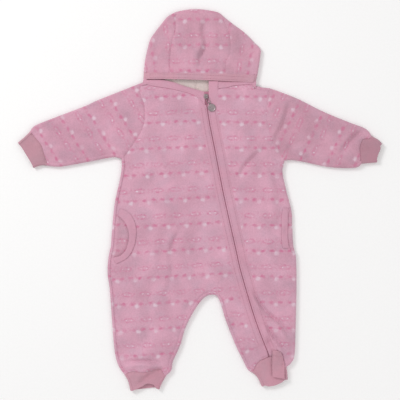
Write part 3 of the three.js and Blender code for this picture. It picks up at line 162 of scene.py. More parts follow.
# Folds: a soft trough (depth below 0) or ridge from one end to the other, bowed sideways by bend,
# with a lower, wider counter-fold of the given share on its right.
Fold = namedtuple("Fold", "x0 y0 x1 y1 bend width depth lip")
FOLD_DEPTH = 2.0
BODY_FOLDS = [Fold(*row) for row in [
    (109, 86, 72, 46, 4, 4, -1.9, 0.5),
    (156, 166, 134, 110, -3, 4.5, -2.0, 0.5),
    (290, 125, 252, 88, 3, 5, -2.3, 0.7),
    (96, -164, 128, -208, 3, 3.0, -2.5, 0.9),
    (126, -204, 152, -232, -2, 3.0, -2.5, 0.9),
    (119, -222, 145, -256, 2, 2.9, -2.4, 0.9),
    (119, -232, 126, -258, 1, 3.5, -1.6, 0.4),
    (132, -226, 158, -250, 1, 4.5, 1.7, 0),
    (150, -268, 132, -262, 1, 4, 1.2, 0),
    (75, -96, 91, -119, 2, 5, -1.2, 0.5),
    (-36, -56, -50, -92, 3, 4.5, -1.9, 0.5),
    (-49, -101, -56, -158, -4, 6, -1.4, 0.5),
    (-64, -90, -92, -240, 8, 9, -1.1, 0.4),
    (-74, -40, -76, -110, 4, 10, 1.0, 0),
    (-9, -61, 0, -114, 3, 9, -1.1, 0.3),
    (130, 40, 140, -30, -4, 7, -1.2, 0.4),
    (131, 44, 149, 14, 3, 5, -1.0, 0.5),
    (119, -18, 124, -44, 2, 6, -1.0, 0.4),
    (158, -49, 151, -60, 2, 6, -0.8, 0.4),
    (118, -60, 128, -112, 3, 8, 1.3, 0),
    (-84, 66, -52, 52, 3, 5, -1.2, 0.5),
    (-18, 23, 9, 4, -2, 6, -1.2, 0.5),
    (-200, 120, -150, 100, 4, 9, -1.0, 0.4),
    (-168, 160, -128, 128, -4, 8, -0.9, 0.4),
    (-244, 122, -216, 88, 5, 8, -1.0, 0.4),
    (180, 150, 230, 100, 6, 10, 1.2, 0),
    (196, 92, 244, 74, -3, 8, -0.9, 0.4),
    (170, 96, 150, 84, 2, 6, -1.1, 0.4),
    (-122, 82, -142, 60, 2, 6, -1.2, 0.4),
    (-126, -284, -74, -285, -3, 3.2, -2.2, 0.9),
    (-71, -298, -104, -322, 2, 5, -1.8, 0.5),
    (-140, -262, -96, -246, 3, 9, -0.8, 0.4),
    (-72, -271, -62, -268, 0, 4, -0.8, 0.3),
    (-118, -150, -132, -210, 6, 12, -0.8, 0.3),
    (40, 120, 92, 128, 6, 12, -0.6, 0.3),
    (-70, 168, -30, 120, 5, 12, -0.6, 0.3),
    (14, -150, 26, -165, 0, 6, -1.2, 0.4),
    (-8, -176, -24, -206, 2, 7, -1.2, 0.4),
    (44, -196, 58, -232, 2, 6, -1.2, 0.4),
    (96, -262, 120, -250, 2, 5, -0.9, 0.4),
]]
HOOD_FOLDS = [Fold(*row) for row in [
    (11, 313, 5, 284, 2, 5, -1.7, 0.6),
    (10.5, 286, 5, 259, -3, 4.6, -2.4, 0.7),
    (5, 259, 0, 240, 2, 4, -1.4, 0.5),
    (24, 302, 20, 240, -2, 9, 1.2, 0),
    (72, 288, 92, 240, 5, 8, -1.0, 0.4),
    (-76, 282, -64, 236, 4, 9, -0.9, 0.4),
    (-30, 316, -20, 268, 3, 10, -0.6, 0.3),
    (60, 262, 74, 232, 3, 8, -0.7, 0.3),
]]


def spline(rows, count):
    """Evenly spaced points along a smooth path through the rows."""
    p = np.array(rows, float)
    last = len(p) - 1
    t = np.linspace(0, last, 80 * last + 1)
    i = np.minimum(t.astype(int), last - 1)
    w = (t - i)[:, None]
    p0, p1, p2, p3 = p[np.maximum(i - 1, 0)], p[i], p[i + 1], p[np.minimum(i + 2, last)]
    v0, v1 = (p2 - p0) / 2, (p3 - p1) / 2
    cubic = (2 * p1 - 2 * p2 + v0 + v1) * w**3 + (3 * p2 - 3 * p1 - 2 * v0 - v1) * w**2
    return even(cubic + v0 * w + p1, count)


def even(path, count):
    """Evenly spaced points along straight steps."""
    steps = np.hypot(*np.diff(path, axis=0).T)
    s = np.concatenate([[0], np.cumsum(steps)])
    at = np.linspace(0, s[-1], count + 1)
    return np.stack([np.interp(at, s, path[:, k]) for k in (0, 1)], axis=1)


def length(path):
    return float(np.hypot(*np.diff(path, axis=0).T).sum())


def dense(rows, step=2.0):
    """A smooth path sampled at about the given step."""
    rough = spline(rows, 200)
    return spline(rows, max(2, round(length(rough) / step)))


def left_normals(points):
    step = np.roll(points, -1, axis=0) - np.roll(points, 1, axis=0)
    step[0] = points[1] - points[0]
    step[-1] = points[-1] - points[-2]
    step /= np.hypot(*step.T)[:, None]
    return np.stack([-step[:, 1], step[:, 0]], axis=1)


def shifted(points, distance):
    return points + left_normals(points) * distance


def between(path, distance):
    """A seam's inner points, moved off it."""
    return shifted(path, distance)[1:-1]


class Edge:
    """A stretch of the outline: coarse stations with the direction inwards, and fine points between."""

    def __init__(self, rows, count):
        self.rows = rows
        self.count = count
        self.inward = left_normals(spline(rows, count))

    def fine(self, step=2.4):
        total = length(spline(self.rows, self.count))
        parts = max(1, round(total / self.count / step))
        points = spline(self.rows, self.count * parts)
        at = np.linspace(0, self.count, len(points))
        inward = [np.interp(at, range(self.count + 1), self.inward[:, k]) for k in (0, 1)]
        return points, np.stack(inward, axis=1)

    def inset(self, distance):
        points, inward = self.fine()
        return points + inward * distance


edge = {name: Edge(rows, count) for name, (count, rows) in OUTLINE.items()}


def join(first, second, direction=None):
    """Two stretches that meet at a seam share its plane there."""
    both = (edge[first].inward[-1] + edge[second].inward[0]) / 2
    if direction is None:
        shared = both / (both @ both)
    else:
        shared = direction / (direction @ both)
    edge[first].inward[-1] = shared
    edge[second].inward[0] = shared


def seam_direction(rows):
    step = np.array([0.0, rows[0][1] - rows[-1][1]])
    return step / np.hypot(*step)


# The hood's seams have a plane of their own, and nothing joins a stretch to the next one at an opening.
SEAM_PLANE = {"hood_right": seam_direction(HOOD_SEAM_RIGHT), "hood_top": seam_direction(HOOD_SEAM_LEFT)}
OPEN_AFTER = {"left_ankle_outer", "right_ankle_inner", "right_wrist_lower", "right_shoulder", "hood_left",
              "left_wrist_upper"}
stretches = list(edge)
for first, second in zip(stretches, stretches[1:] + stretches[:1]):
    if first not in OPEN_AFTER:
        join(first, second, SEAM_PLANE.get(first))
band_upper = dense(HOOD_BAND_UPPER)
band_lower = dense(HOOD_BAND_LOWER)
band_direction = band_upper[-1] - band_upper[0]
band_direction /= np.hypot(*band_direction)
edge["hood_right"].inward[0] = -band_direction
edge["hood_left"].inward[-1] = band_direction


def inset_of(name, distance=SIDE_INSET - TUCK):
    return edge[name].inset(distance)


def corner(name, at):
    """Where the seam between two stretches meets the side seam."""
    points, inward = edge[name].fine()
    return points[at] + inward[at] * SIDE_INSET


def seam_between(first, rows, second):
    return dense([corner(first, -1), *rows, corner(second, 0)])


left_armhole = seam_between("left_shoulder", LEFT_ARMHOLE, "left_side")
right_armhole = dense([corner("right_shoulder", 0), *RIGHT_ARMHOLE, corner("right_side", -1)])
left_wrist = seam_between("left_sleeve_upper", LEFT_WRIST_SEAM, "left_sleeve_lower")
right_wrist = seam_between("right_sleeve_lower", RIGHT_WRIST_SEAM, "right_sleeve_upper")
left_ankle = seam_between("left_side", LEFT_ANKLE_SEAM, "crotch")
right_ankle = seam_between("crotch", RIGHT_ANKLE_SEAM, "right_side")
hood_seam_left = dense([corner("hood_left", 0), *HOOD_SEAM_LEFT[::-1]])
hood_seam_right = dense([corner("hood_right", -1), *HOOD_SEAM_RIGHT[::-1]])


def y_at(path, x):
    order = np.argsort(path[:, 0])
    return np.interp(x, path[order, 0], path[order, 1])


def tucked(path, xs):
    """Points at these xs, just past a seam that runs across."""
    return np.stack([xs, y_at(path, xs) - TUCK], axis=1)


zip_path = dense(ZIP)
left_ends = tucked(right_ankle, np.array(LEFT_BAND_END, float))
right_ends = tucked(right_ankle, np.array(RIGHT_BAND_END, float))
half_slot = ZIP_SLOT / 2
left_outer = np.vstack([[LEFT_BAND_TOP], shifted(zip_path, -half_slot - LEFT_BAND_WIDTH)[1:], left_ends[:1]])
left_inner = np.vstack([shifted(zip_path, -half_slot), left_ends[1:]])
right_inner = np.vstack([RIGHT_BAND_INNER, shifted(zip_path, half_slot), right_ends[:1]])
right_outer = np.vstack([RIGHT_BAND_OUTER, shifted(zip_path, half_slot + RIGHT_BAND_WIDTH), right_ends[1:]])


class Nearest:
    """Distance from points to a set of sampled paths, with each sample's own numbers."""

    def __init__(self, paths, step=0.9):
        rows = []
        for path, *numbers in paths:
            path = np.asarray(path, float)
            points = even(path, max(2, round(length(path) / step)))
            for k, p in enumerate(points):
                rows.append((*p, k * step, *numbers))
        self.rows = np.array(rows)
        self.tree = kdtree.KDTree(len(rows))
        for k, row in enumerate(rows):
            self.tree.insert((row[0], row[1], 0), k)
        self.tree.balance()

    def __call__(self, points):
        found = [self.tree.find((x, y, 0)) for x, y in points]
        return np.array([f[2] for f in found]), self.rows[[f[1] for f in found]]


def waves(points, size, seed=0.0):
    return np.array([noise.noise(Vector((x / size, y / size, seed))) for x, y in points])


def fold_height(points, fold, inside):
    """A fold's height at each point, fading towards its ends and towards the outline."""
    start, end = np.array([fold.x0, fold.y0]), np.array([fold.x1, fold.y1])
    span = np.hypot(*(end - start))
    along = (end - start) / span
    across = np.array([along[1], -along[0]])
    t = (points - start) @ along / span
    inner = np.clip(t, 0, 1)
    side = (points - start) @ across - 4 * fold.bend * inner * (1 - inner)
    beyond = (t - inner) * span
    reach = fold.width * 2.2
    fade = np.exp(-((beyond / reach) ** 2)) * (0.35 + 0.65 * np.sin(np.pi * (0.12 + 0.76 * inner)))
    main = np.exp(-((side / fold.width) ** 2))
    counter = fold.lip * np.exp(-(((side - 2.1 * fold.width) / (1.3 * fold.width)) ** 2))
    return FOLD_DEPTH * fold.depth * (main - counter) * fade * np.minimum(1, inside / fold.width)


class Surface:
    """Height of an upper side: low at the outline, fuller inside, folded, and drawn in at its seams."""

    def __init__(self, outline, puff, folds, seams, seed):
        self.outline = Nearest([(outline,)])
        self.seams = Nearest(seams)
        self.puff = puff
        self.folds = folds
        self.seed = seed

    def __call__(self, points):
        points = np.asarray(points, float)
        inside = np.maximum(0, self.outline(points)[0] - SIDE_INSET)
        height = EDGE_HEIGHT + self.puff * (1 - np.exp(-inside / PUFF_REACH))
        for fold in self.folds:
            height += fold_height(points, fold, inside)
        away, rows = self.seams(points)
        arc, width, depth, pucker = rows[:, 2], rows[:, 3], rows[:, 4], rows[:, 5]
        height -= depth * np.exp(-((away / width) ** 2))
        shift = 5 * waves(np.column_stack([arc, depth]), 23, 3.1)
        gather = np.sin(2 * np.pi * arc / GATHER_PITCH + shift)
        height += pucker * gather * np.exp(-away / GATHER_REACH) * np.minimum(1, away / 2)
        settle = np.minimum(1, inside / 12)
        large, small = waves(points, 38, self.seed), waves(points, 13, self.seed + 7)
        height += settle * (LARGE_WAVE * large + SMALL_WAVE * small)
        spare = height - LOWEST
        return LOWEST + (spare + np.sqrt(spare**2 + 1)) / 2


outline = np.vstack([stretch.fine()[0] for stretch in edge.values()])
outline = np.vstack([outline, outline[:1]])
hood_outline = np.vstack([*[edge[name].fine()[0] for name in ("hood_right", "hood_top", "hood_left")],
                          [(-99, 100), (98, 100), (100.6, 219.5)]])
left_neck = dense(LEFT_NECK)
right_neck = dense(RIGHT_NECK)
left_opening = dense(LEFT_POCKET)
right_opening = dense(RIGHT_POCKET)
binding_tail = dense([(-8.8, 184.6), (-1, 181), (5, 173), (9.5, 164), (12.5, 156)])
# Each seam: its path, the trough's width and depth, and how much the cloth gathers beside it.
BODY_SEAMS = [
    (left_armhole, 1.8, 1.5, 0.45), (right_armhole, 1.8, 1.5, 0.45),
    (left_wrist, 2.0, 1.9, 0.6), (right_wrist, 2.0, 1.9, 0.6),
    (left_ankle, 2.2, 1.9, 0.65), (right_ankle, 2.0, 1.9, 0.6),
    (inset_of("left_side", SIDE_INSET), 1.7, 1.6, 0.4), (inset_of("crotch", SIDE_INSET), 1.7, 1.5, 0.4),
    (inset_of("right_sleeve_lower", SIDE_INSET), 1.5, 0.8, 0.35),
    (inset_of("left_sleeve_lower", SIDE_INSET), 1.5, 0.5, 0.35),
    (inset_of("left_shoulder", SIDE_INSET), 1.5, 0.7, 0),
    (inset_of("right_shoulder", SIDE_INSET), 1.5, 0.7, 0),
    (left_outer[6:], 1.8, 0.8, 0.35), (right_outer[right_outer[:, 1] < 150], 1.8, 0.7, 0.35),
    (binding_tail, 1.3, 1.6, 0),
    (left_inner, 1.0, 0.6, 0), (right_inner, 1.0, 0.6, 0),
    (left_neck[left_neck[:, 0] < -8], 1.5, 1.8, 0.25), (right_neck, 2.2, 0.5, 0.25),
]
HOOD_SEAMS = [
    (hood_seam_left, 1.7, 1.7, 0.4), (hood_seam_right, 1.8, 1.3, 0.4), (band_upper, 1.9, 1.1, 0.35),
]
body_surface = Surface(outline, BODY_PUFF, BODY_FOLDS, BODY_SEAMS, 0.0)
hood_surface = Surface(hood_outline, HOOD_PUFF, HOOD_FOLDS, HOOD_SEAMS, 21.0)


def inside_polygon(points, loop):
    x, y = points[:, 0][:, None], points[:, 1][:, None]
    a, b = loop, np.roll(loop, -1, axis=0)
    crosses = (a[:, 1] > y) != (b[:, 1] > y)
    rise = np.where(b[:, 1] == a[:, 1], 1e-9, b[:, 1] - a[:, 1])
    at = a[:, 0] + (y - a[:, 1]) * (b[:, 0] - a[:, 0]) / rise
    return (crosses & (x < at)).sum(axis=1) % 2 == 1


def tidy_loop(loop):
    """The loop without repeated points, anticlockwise."""
    kept = [loop[0]]
    for p in loop[1:]:
        if np.hypot(*(p - kept[-1])) > 0.05:
            kept.append(p)
    if np.hypot(*(kept[0] - kept[-1])) <= 0.05:
        kept.pop()
    loop = np.array(kept)
    x, y = loop.T
    area = (x * np.roll(y, -1) - np.roll(x, -1) * y).sum()
    return loop if area > 0 else loop[::-1]


def filled(loop, spacing):
    """Points and triangles that fill a loop."""
    loop = tidy_loop(np.asarray(loop, float))
    low, high = loop.min(axis=0), loop.max(axis=0)
    rise = spacing * math.sqrt(3) / 2
    grid = []
    for k, y in enumerate(np.arange(low[1], high[1], rise)):
        xs = np.arange(low[0] + (k % 2) * spacing / 2, high[0], spacing)
        grid.append(np.column_stack([xs, np.full(len(xs), y)]))
    points = np.vstack(grid)
    points = points[inside_polygon(points, loop)]
    closed = np.vstack([loop, loop[:1]])
    if len(points):
        points = points[Nearest([(closed,)])(points)[0] > 0.55 * spacing]
    every = [Vector(p) for p in np.vstack([loop, points])]
    verts, _, faces, *_ = delaunay_2d_cdt(every, [], [list(range(len(loop)))], 1, 1e-5)
    flat = np.array([tuple(v) for v in verts])
    turned = []
    for a, b, c in faces:
        ab, ac = flat[b] - flat[a], flat[c] - flat[a]
        turned.append((a, b, c) if ab[0] * ac[1] - ab[1] * ac[0] > 0 else (a, c, b))
    return flat, turned


def add_object(name, data):
    made = bpy.data.objects.new(name, data)
    bpy.context.scene.collection.objects.link(made)
    return made


class Cloth:
    """Collects a piece's surface, outer side out, and makes a thin shell of it."""

    def __init__(self):
        self.verts = []
        self.faces = []

    def add(self, verts, faces):
        start = len(self.verts)
        self.verts += [tuple(v) for v in verts]
        self.faces += [tuple(start + k for k in face) for face in faces]
        return self

    def grid(self, rows):
        rows = np.asarray(rows)
        n, m = rows.shape[:2]
        at = lambda i, j: i * m + j
        faces = [
            (at(i, j), at(i + 1, j), at(i + 1, j + 1), at(i, j + 1))
            for i in range(n - 1) for j in range(m - 1)
        ]
        return self.add(rows.reshape(-1, 3), faces)

    def top(self, loop, surface, spacing=FINE, lift=0.0):
        flat, faces = filled(loop, spacing)
        return self.add(np.column_stack([flat, surface(flat) + lift]), faces)

    def under(self, loop):
        flat, faces = filled(loop, COARSE)
        return self.add(np.column_stack([flat, np.zeros(len(flat))]), [f[::-1] for f in faces])

    def build(self, name, material, grain=lambda x, y: (x, y), node=None, size=None, thickness=CLOTH,
              slot="printed_cloth", rests_on="back"):
        """Makes the piece, in place of a CAD node. Without node= it adds to what is there.

        size is the flat width and length of the cloth that it is cut from, and its area, in metres; it is not
        used.
        """
        mesh = bpy.data.meshes.new(name)
        mesh.from_pydata([tuple(MM * c for c in v) for v in self.verts], [], self.faces)
        work = bmesh.new()
        work.from_mesh(mesh)
        bmesh.ops.remove_doubles(work, verts=work.verts, dist=0.02 * MM)
        layer = work.loops.layers.uv.new("grain")
        for face in work.faces:
            face.smooth = True
            for loop in face.loops:
                loop[layer].uv = grain(loop.vert.co.x, loop.vert.co.y)
        work.to_mesh(mesh)
        work.free()
        piece = add_object(name, mesh)
        if thickness:
            shell = piece.modifiers.new("wall", "SOLIDIFY")
            shell.thickness = thickness * MM
            shell.offset = -1
            shell.use_even_offset = False
            freeze(piece)
        dress(piece, material, node, "garment")


def freeze(piece):
    """Applies a piece's modifiers."""
    bpy.context.view_layer.update()
    seen = piece.evaluated_get(bpy.context.evaluated_depsgraph_get())
    mesh = bpy.data.meshes.new_from_object(seen)
    mesh.set_sharp_from_angle(angle=SHARP)
    piece.modifiers.clear()
    piece.data = mesh


def dress(piece, material, node, body):
    piece.data.materials.clear()
    piece.data.materials.append(material)
    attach(piece, body)
    if node:
        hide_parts(node)


def rolled(points, inward, surface, top=SIDE_INSET, under=FLOOR_INSET, radius=EDGE_RADIUS):
    """Sections of a rolled edge, from under the cloth, round the outline and up to the seam on top."""
    rows = [np.column_stack([points + inward * under, np.zeros(len(points))])]
    for step in range(ROLL_STEPS + 1):
        angle = math.pi * (step / ROLL_STEPS - 0.5)
        spot = points + inward * (radius - radius * math.cos(angle))
        rows.append(np.column_stack([spot, np.full(len(spot), radius + radius * math.sin(angle))]))
    for share in (0.35, 0.7, 1.0):
        spot = points + inward * (radius + (top - radius) * share)
        rows.append(np.column_stack([spot, surface(spot)]))
    return np.stack(rows, axis=1)


def strip(name, surface):
    return rolled(*edge[name].fine(), surface)


# Materials.
def srgb(*rgb):
    """Linear colour of 8-bit sRGB values."""
    c = [v / 255 for v in rgb]
    return (*[v / 12.92 if v <= 0.04045 else ((v + 0.055) / 1.055) ** 2.4 for v in c], 1.0)


class Shader:
    """A Principled material, with short calls for its nodes."""

    def __init__(self, name, **uniform):
        self.material = bpy.data.materials.new(name)
        self.material.use_nodes = True
        self.tree = self.material.node_tree
        self.bsdf = self.tree.nodes["Principled BSDF"]
        for socket, value in uniform.items():
            self.bsdf.inputs[socket.replace("_", " ")].default_value = value

    def node(self, kind, output=0, **settings):
        """A node with its options, and with its sockets set or linked: i0 is the first socket."""
        made = self.tree.nodes.new("ShaderNode" + kind)
        for name, value in settings.items():
            if hasattr(made, name):
                setattr(made, name, value)
            else:
                key = int(name[1:]) if name[1:].isdigit() else name.replace("_", " ")
                self.put(made.inputs[key], value)
        return made.outputs[output]

    def put(self, socket, value):
        if isinstance(value, bpy.types.NodeSocket):
            self.tree.links.new(value, socket)
        else:
            socket.default_value = value

    def math(self, operation, a, b=0.0, c=0.0):
        return self.node("Math", operation=operation, i0=a, i1=b, i2=c)

    def times(self, a, b):
        return self.math("MULTIPLY", a, b)

    def mix(self, factor, a, b, blend="MIX"):
        return self.node("Mix", 2, data_type="RGBA", blend_type=blend, i0=factor, i6=a, i7=b)

    def remap(self, value, low, high, start=0.0, end=1.0, **options):
        return self.node("MapRange", Value=value, From_Min=low, From_Max=high, To_Min=start, To_Max=end,
                         **options)

    def shaded(self, color, light):
        tone = self.node("CombineColor", Red=light, Green=light, Blue=light)
        return self.mix(1.0, color, tone, "MULTIPLY")

    def noise(self, scale, detail, where):
        return self.node("TexNoise", Vector=where, Scale=scale, Detail=detail)

    def bump(self, height, distance, strength, **normal):
        return self.node("Bump", Height=height, Distance=distance, Strength=strength, **normal)

    def finish(self, color, normal=None, roughness=None):
        self.put(self.bsdf.inputs["Base Color"], color)
        if normal is not None:
            self.put(self.bsdf.inputs["Normal"], normal)
        if roughness is not None:
            self.put(self.bsdf.inputs["Roughness"], roughness)
        return self.material


def knit(name, wale=1.3, depth=0.00022, sheen=0.25):
    """A cloth's shader and its relief: wales along the grain, this far apart, and a fleecy nap over them."""
    shader = Shader(name, Roughness=0.93, Sheen_Weight=sheen, Sheen_Roughness=0.6, Specular_IOR_Level=0.15)
    where = shader.node("TexCoord", 3)
    grain = shader.node("UVMap", uv_map="grain")
    wave = shader.node("TexWave", Vector=grain, Scale=1000 / wale / 6.2832 * 0.5, Distortion=1.2,
                       Detail=2.0, Detail_Scale=2.0)
    nap = shader.noise(900.0, 4.0, where)
    clumps = shader.noise(170.0, 3.0, where)
    rough = shader.math("ADD", shader.times(wave, 0.35), nap)
    first = shader.bump(rough, depth, 0.6)
    return shader, shader.bump(clumps, depth * 1.6, 0.5, Normal=first), where, grain


def mottled(shader, color, where, strength=1.0):
    """The dye's unevenness: cloudy at a few sizes, with greyer patches."""
    patches = shader.remap(shader.noise(46.0, 2.0, where), 0.42, 0.68, 0.0, 0.6)
    r, g, b, opaque = srgb(*color)
    color = shader.mix(patches, (r, g, b, opaque), (r * 0.9, g * 1.02, b, opaque))
    clouds = shader.noise(28.0, 3.0, where)
    flecks = shader.noise(420.0, 3.0, where)
    both = shader.math("ADD", shader.times(clouds, 0.6), shader.times(flecks, 0.4))
    return shader.shaded(color, shader.remap(both, 0.3, 0.7, 1 - 0.09 * strength, 1 + 0.09 * strength))


def plain_cloth(name, color, **relief):
    shader, normal, where, _ = knit(name, **relief)
    return shader.finish(mottled(shader, color, where), normal)


PRINT_ACROSS = 31.5  # the motif's repeat along a row, mm
PRINT_DOWN = 45.0  # the repeat across the rows, mm
DOT_ROW = 4.0  # where the dotted row lies, mm
RING_ROW = 20.6  # where the row of faint rings lies, mm
DOT_START = 0.2  # where the first dot lies along its row, mm
BLOT_DROP = 4  # how far below the dots the pale blots lie, mm
EYE_APART = 4.8  # how far a ring's pale eyes lie from its middle, mm
# Spots of the motif: half width and half height in mm, and how soft the edge is.
DOT = (3.9, 2.3, 0.6)
BLOT = (3.5, 3.1, 0.6)
RING = (10.6, 4.4, 0.22)
HOLE = (8.0, 2.1, 0.35)
EYE = (1.5, 1.3, 0.7)
# How strongly each one is printed.
SMUDGE_INK, RING_INK, EYE_INK, DOT_INK, BLOT_INK = 0.3, 0.68, 0.95, 0.8, 0.72


def printed_cloth(name, color):
    """Knit with a faint repeat of smudged dots, pale blots between them, and a row of small rings."""
    shader, normal, where, grain = knit(name)
    deep, pale = srgb(199, 108, 144), srgb(222, 202, 214)
    warp = shader.node("TexNoise", 1, Vector=grain, Scale=150.0, Detail=3.5)
    moved = shader.node("VectorMath", operation="MULTIPLY_ADD", i0=warp, i1=(0.006, 0.005, 0.0), i2=grain)
    x = shader.times(shader.node("SeparateXYZ", 0, Vector=moved), 1000.0)
    y = shader.times(shader.node("SeparateXYZ", 1, Vector=moved), 1000.0)
    fade = shader.remap(shader.noise(95.0, 4.0, grain), 0.36, 0.62, 0.35)

    def from_middle(value, period, middle):
        return shader.math("WRAP", shader.math("SUBTRACT", value, middle), period / 2, -period / 2)

    def spot(u, v, half_width, half_height, soft):
        u, v = shader.math("DIVIDE", u, half_width), shader.math("DIVIDE", v, half_height)
        square = shader.math("ADD", shader.times(u, u), shader.times(v, v))
        reach = shader.math("SQRT", square)
        return shader.remap(reach, 1 - soft, 1 + soft, 1.0, 0.0, interpolation_type="SMOOTHSTEP")

    def under(mask, strength):
        return shader.times(shader.times(mask, strength), fade)

    dot_y = from_middle(y, PRINT_DOWN, DOT_ROW)
    dots = spot(from_middle(x, PRINT_ACROSS / 2, DOT_START), dot_y, *DOT)
    blots = spot(from_middle(x, PRINT_ACROSS, DOT_START + PRINT_ACROSS / 4),
                 from_middle(y, PRINT_DOWN, DOT_ROW - BLOT_DROP), *BLOT)
    ring_x = from_middle(x, PRINT_ACROSS, DOT_START - PRINT_ACROSS / 4)
    ring_y = from_middle(y, PRINT_DOWN, RING_ROW)
    eyes = spot(shader.math("SUBTRACT", shader.math("ABSOLUTE", ring_x), EYE_APART), ring_y, *EYE)
    outside_hole = shader.math("SUBTRACT", 1.0, spot(ring_x, ring_y, *HOLE))
    ring = shader.times(spot(ring_x, ring_y, *RING), outside_hole)
    tint = mottled(shader, color, where, 1.9)
    band = shader.math("MAXIMUM", spot(0.0, dot_y, 1.0, 5.0, 0.5), spot(0.0, ring_y, 1.0, 5.5, 0.5))
    smudge = shader.remap(shader.noise(230.0, 2.0, grain), 0.5, 0.66)
    tint = shader.mix(shader.times(shader.times(band, smudge), SMUDGE_INK), tint, deep)
    worn = shader.remap(shader.noise(310.0, 3.0, grain), 0.4, 0.58, 0.1)
    tint = shader.mix(shader.times(under(ring, RING_INK), worn), tint, deep)
    tint = shader.mix(shader.times(under(eyes, EYE_INK), worn), tint, pale)
    tint = shader.mix(under(dots, DOT_INK), tint, deep)
    tint = shader.mix(under(blots, BLOT_INK), tint, pale)
    return shader.finish(tint, normal)


def satin_metal(name, color):
    """Metal with fine scratches, duller where it is worn."""
    shader = Shader(name, Metallic=1.0)
    where = shader.node("TexCoord", 3)
    fine = shader.noise(1400.0, 4.0, where)
    worn = shader.noise(260.0, 3.0, where)
    rough = shader.remap(worn, 0.3, 0.7, 0.24, 0.42)
    tint = shader.shaded(srgb(*color), shader.remap(worn, 0.3, 0.7, 0.85, 1.05))
    return shader.finish(tint, shader.bump(fine, 0.00002, 0.4), rough)


printed = printed_cloth("printed_knit", (208, 158, 178))
sleeve_cloth = printed_cloth("printed_knit_sleeves", (204, 153, 173))
shaded_sleeve = printed_cloth("printed_knit_shaded_sleeve", (201, 151, 170))
hood_cloth = printed_cloth("printed_knit_hood", (204, 153, 172))
inner_print = printed_cloth("printed_knit_pocket", (203, 156, 174))
plain = plain_cloth("plain_knit", (206, 153, 173))
band_cloth = plain_cloth("band_knit", (200, 149, 165))
cuff_cloth = plain_cloth("cuff_rib", (190, 141, 155), wale=2.1, depth=0.0004)
deep_cuff = plain_cloth("cuff_rib_deep", (182, 133, 148), wale=2.1, depth=0.0004)
pink_cuff = plain_cloth("cuff_rib_pink", (199, 146, 162), wale=2.1, depth=0.0004)
fleece = plain_cloth("fleece", (219, 198, 196), wale=2.4, depth=0.0009, sheen=0.5)
tape = plain_cloth("zip_tape", (186, 124, 145), wale=0.6, depth=0.0001, sheen=0.1)
thread = plain_cloth("thread", (180, 122, 144), wale=0.4, depth=0.00005, sheen=0.3)
# The metal's grey is its own colour. The faint pink in it is a painted reflection of the pink cloth around
# the zip pull.
steel = satin_metal("satin_metal", (176, 162, 165))


# Camera, light and floor.
CAMERA_HEIGHT = 1.6628
camera = add_object("camera", bpy.data.cameras.new("camera"))
camera.data.lens = 85
camera.data.sensor_width = 36
camera.location = (0, 0, CAMERA_HEIGHT)
bpy.context.scene.camera = camera
bpy.context.scene.view_settings.view_transform = "Standard"


def lamp(name, place, size, watts):
    """A round soft lamp that points at the middle of the suit."""
    data = bpy.data.lights.new(name, "AREA")
    data.shape = "DISK"
    data.size = size
    data.energy = watts
    made = add_object(name, data)
    made.location = place
    made.rotation_euler = (-Vector(place)).to_track_quat("-Z", "Y").to_euler()


lamp("key", (-1.72, 1.4, 1.7), 0.9, 28)
lamp("fill", (1.5, -1.2, 2.2), 2.2, 12)
world = bpy.data.worlds.new("studio")
world.use_nodes = True
sky = world.node_tree.nodes["Background"].inputs
sky["Color"].default_value = (1.0, 0.99, 0.985, 1)
sky["Strength"].default_value = 0.69
bpy.context.scene.world = world

FLOOR_REACH, FLOOR_LEVEL = 4.0, -0.0004
floor_mesh = bpy.data.meshes.new("floor")
floor_mesh.from_pydata([(x * FLOOR_REACH, y * FLOOR_REACH, FLOOR_LEVEL)
                        for x, y in ((-1, -1), (1, -1), (1, 1), (-1, 1))], [], [(0, 1, 2, 3)])
floor = add_object("floor", floor_mesh)
paper = Shader("paper", Roughness=0.9, Specular_IOR_Level=0.1)
pulp = paper.noise(300.0, 3.0, paper.node("TexCoord", 3))
floor_mesh.materials.append(paper.finish(
    paper.mix(pulp, (0.93, 0.93, 0.93, 1), (0.97, 0.97, 0.97, 1)), paper.bump(pulp, 0.0001, 0.2)))


# Body panels.
def turned(degrees, origin=(0, 0), slide=0.0):
    """The print's grain where its rows run at this angle to X and start this far on."""
    c, s = math.cos(math.radians(degrees)), math.sin(math.radians(degrees))
    ox, oy = origin
    return lambda x, y: (c * (x - ox * MM) + s * (y - oy * MM) + (ox - slide) * MM,
                         -s * (x - ox * MM) + c * (y - oy * MM) + oy * MM)


back = Cloth()
sides = {name: strip(name, body_surface)
         for name in ("left_side", "crotch", "right_shoulder", "left_shoulder")}
for rows in sides.values():
    back.grid(rows)
on_floor = {name: rows[:, 0, :2] for name, rows in sides.items()}
right_seam = inset_of("right_side", FLOOR_INSET + SEAM_GAP)
back.under(np.vstack([
    on_floor["left_side"], on_floor["crotch"], right_seam, between(right_armhole, -TUCK)[::-1],
    on_floor["right_shoulder"], np.array(BACK_NECK[::-1]) + (0, TUCK), on_floor["left_shoulder"],
    between(left_armhole, -TUCK),
]))
back.build("back_panel", printed, node="back", size=(0.34, 0.53, 0.141))

side = inset_of("left_side")
high = side[side[:, 1] > LEFT_POCKET[0][1]]
low = side[side[:, 1] < LEFT_POCKET[-1][1]]
band_edge = shifted(left_outer, TUCK)
neck_edge = shifted(left_neck, TUCK)
neck_edge = neck_edge[neck_edge[:, 0] < LEFT_BAND_TOP[0] - 0.2]
cross = inset_of("crotch")
hem_x = np.arange(cross[-1][0], left_ends[0][0], 2.0)
front_left = Cloth().top(np.vstack([
    shifted(left_armhole, -TUCK), high[1:], left_opening, low, between(left_ankle, -TUCK), cross,
    tucked(right_ankle, hem_x)[1:], band_edge[::-1], neck_edge[::-1],
    inset_of("left_shoulder")[:-1],
]), body_surface)
front_left.build("front_left_panel", printed, turned(3.2, (-52, 4)), node="front_left",
                 size=(0.29, 0.51, 0.0757))

